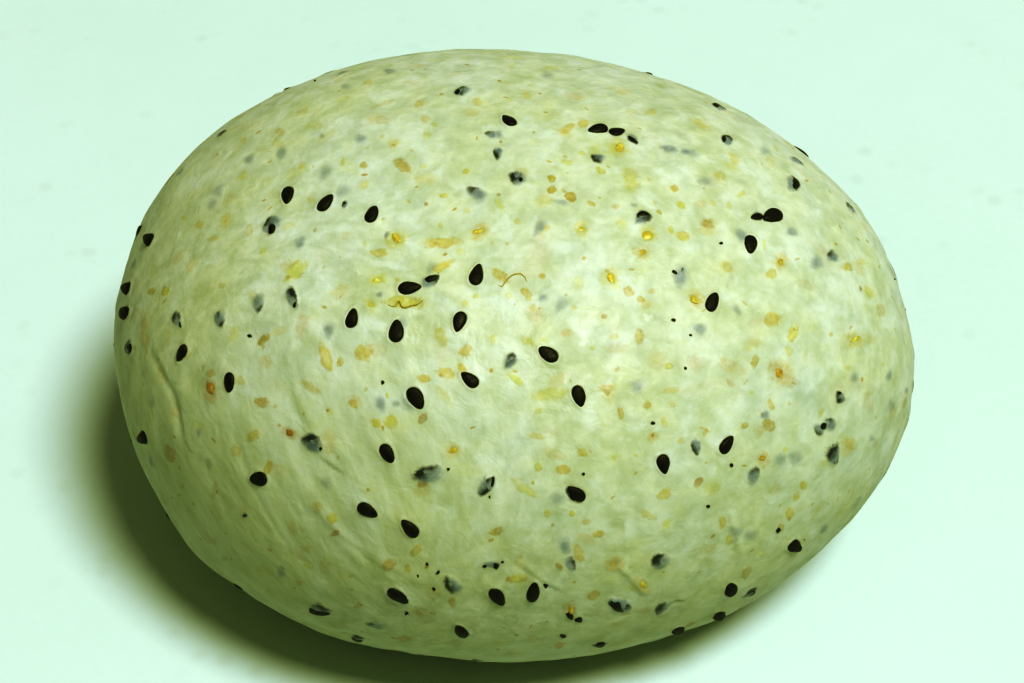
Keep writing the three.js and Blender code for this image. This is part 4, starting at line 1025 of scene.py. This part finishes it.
# ---- curled edges of torn bran: thin ribbons that stand up out of the skin
def ribbon(run, tall, wide, lean, rng):
    q = direction(np.array([a for a, _ in run]), np.array([b for _, b in run]))
    t = np.linspace(0, len(q) - 1, 6 * (len(q) - 1) + 1)
    k = np.minimum(t.astype(int), len(q) - 2)
    f = (t - k)[:, None]
    p0, p1 = q[np.maximum(k - 1, 0)], q[k]
    p2, p3 = q[k + 1], q[np.minimum(k + 2, len(q) - 1)]
    d = unit(0.5 * (2 * p1 + (p2 - p0) * f + (2 * p0 - 5 * p1 + 4 * p2 - p3) * f ** 2 + (3 * p1 - p0 - 3 * p2 + p3) * f ** 3))
    p, n = skin(d), skin_normal(d)
    rise = np.array([height[np.argmax(V @ x)] for x in d])
    p = p + n * rise[:, None]
    along = unit(np.gradient(p, axis=0))
    side = unit(np.cross(n, along))
    fade = np.sin(np.pi * np.clip(np.linspace(0.03, 0.97, len(p)), 0, 1)) ** 0.45
    th = tall * fade * (1 + 0.25 * gnoise(p / 0.9, 9))
    ring = [(-0.5, -0.25), (-0.5, 0.55), (-0.25, 0.95), (0.1, 1.0), (0.45, 0.8), (0.5, -0.25)]
    v = np.array([p + side * (a * wide * fade + lean * th * max(b, 0) ** 1.5)[:, None] + n * (b * th)[:, None] for a, b in ring])
    m = len(ring)
    v = v.transpose(1, 0, 2).reshape(-1, 3)
    t = []
    for i in range(len(p) - 1):
        for j in range(m):
            a, b = i * m + j, i * m + (j + 1) % m
            t += [(a, b, a + m), (b, b + m, a + m)]
    t += [(0, j + 1, j) for j in range(1, m - 1)]
    o = (len(p) - 1) * m
    t += [(o, o + j, o + j + 1) for j in range(1, m - 1)]
    return v, np.array(t)


RIBBONS = [
    ([(-120.0, 47.2), (-118.9, 47.2), (-118.2, 47.5), (-118.0, 48.3), (-116.8, 47.7), (-115.7, 47.9), (-114.7, 48.5), (-113.6, 49.0), (-112.8, 50.0)], 0.20, 0.16, 0.7, (0.26, 0.24, 0.06)),
    ([(-94.1, 55.6), (-93.0, 55.4), (-92.2, 56.2), (-91.3, 57.0), (-89.8, 57.7), (-87.7, 57.9), (-86.2, 57.3), (-85.7, 56.5)], 0.16, 0.11, 0.7, (0.34, 0.30, 0.08)),
]
vs, ts, cs, base = [], [], [], 0
for run, tall, wide, lean, c in RIBBONS:
    v, t = ribbon(run, tall, wide, lean, srng)
    vs.append(v)
    ts.append(t + base)
    base += len(v)
    cs.append(np.tile(np.append(c, 1.0), (len(v), 1)))
ob = make("bran_curls", np.concatenate(vs), np.concatenate(ts), GRAIN)
colour(ob, "tint", cs)

# --------------------------------------------------------------------------------------------------- floor and lights
bpy.ops.mesh.primitive_grid_add(x_subdivisions=8, y_subdivisions=8, size=6.0, location=(0, 0, -0.00005))
floor = bpy.context.object
floor.name = "table_top"
floor.data.materials.append(floor_material())


def softbox(name, lon, lat, far, size, watts, tint=(1, 1, 1)):
    data = bpy.data.lights.new(name, "AREA")
    data.shape, data.size, data.energy, data.color = "DISK", size, watts, tint
    ob = bpy.data.objects.new(name, data)
    bpy.context.scene.collection.objects.link(ob)
    d = direction(lon, lat)
    at = MIDDLE * MM + d * far
    ob.matrix_world = Matrix.Translation(Vector(at)) @ Vector(d).to_track_quat("Z", "Y").to_matrix().to_4x4()
    return ob


softbox("key", -41, 66, 2.60, 0.82, 112.5)

world = bpy.data.worlds.new("world")
bpy.context.scene.world = world
world.use_nodes = True
bg = world.node_tree.nodes["Background"]
bg.inputs[0].default_value = (0.95, 1.0, 0.88, 1.0)
bg.inputs[1].default_value = 0.235
bpy.context.scene.view_settings.view_transform = "Standard"
bpy.context.scene.view_settings.look = "None"
bpy.context.scene.view_settings.gamma = 0.72
bpy.context.scene.view_settings.use_curve_mapping = True
curves = bpy.context.scene.view_settings.curve_mapping
blue = curves.curves[2]
for x, y in ((0.25, 0.135), (0.5, 0.41), (0.75, 0.735)):  # shadows a little warmer than the lit floor
    blue.points.new(x, y)
curves.update()
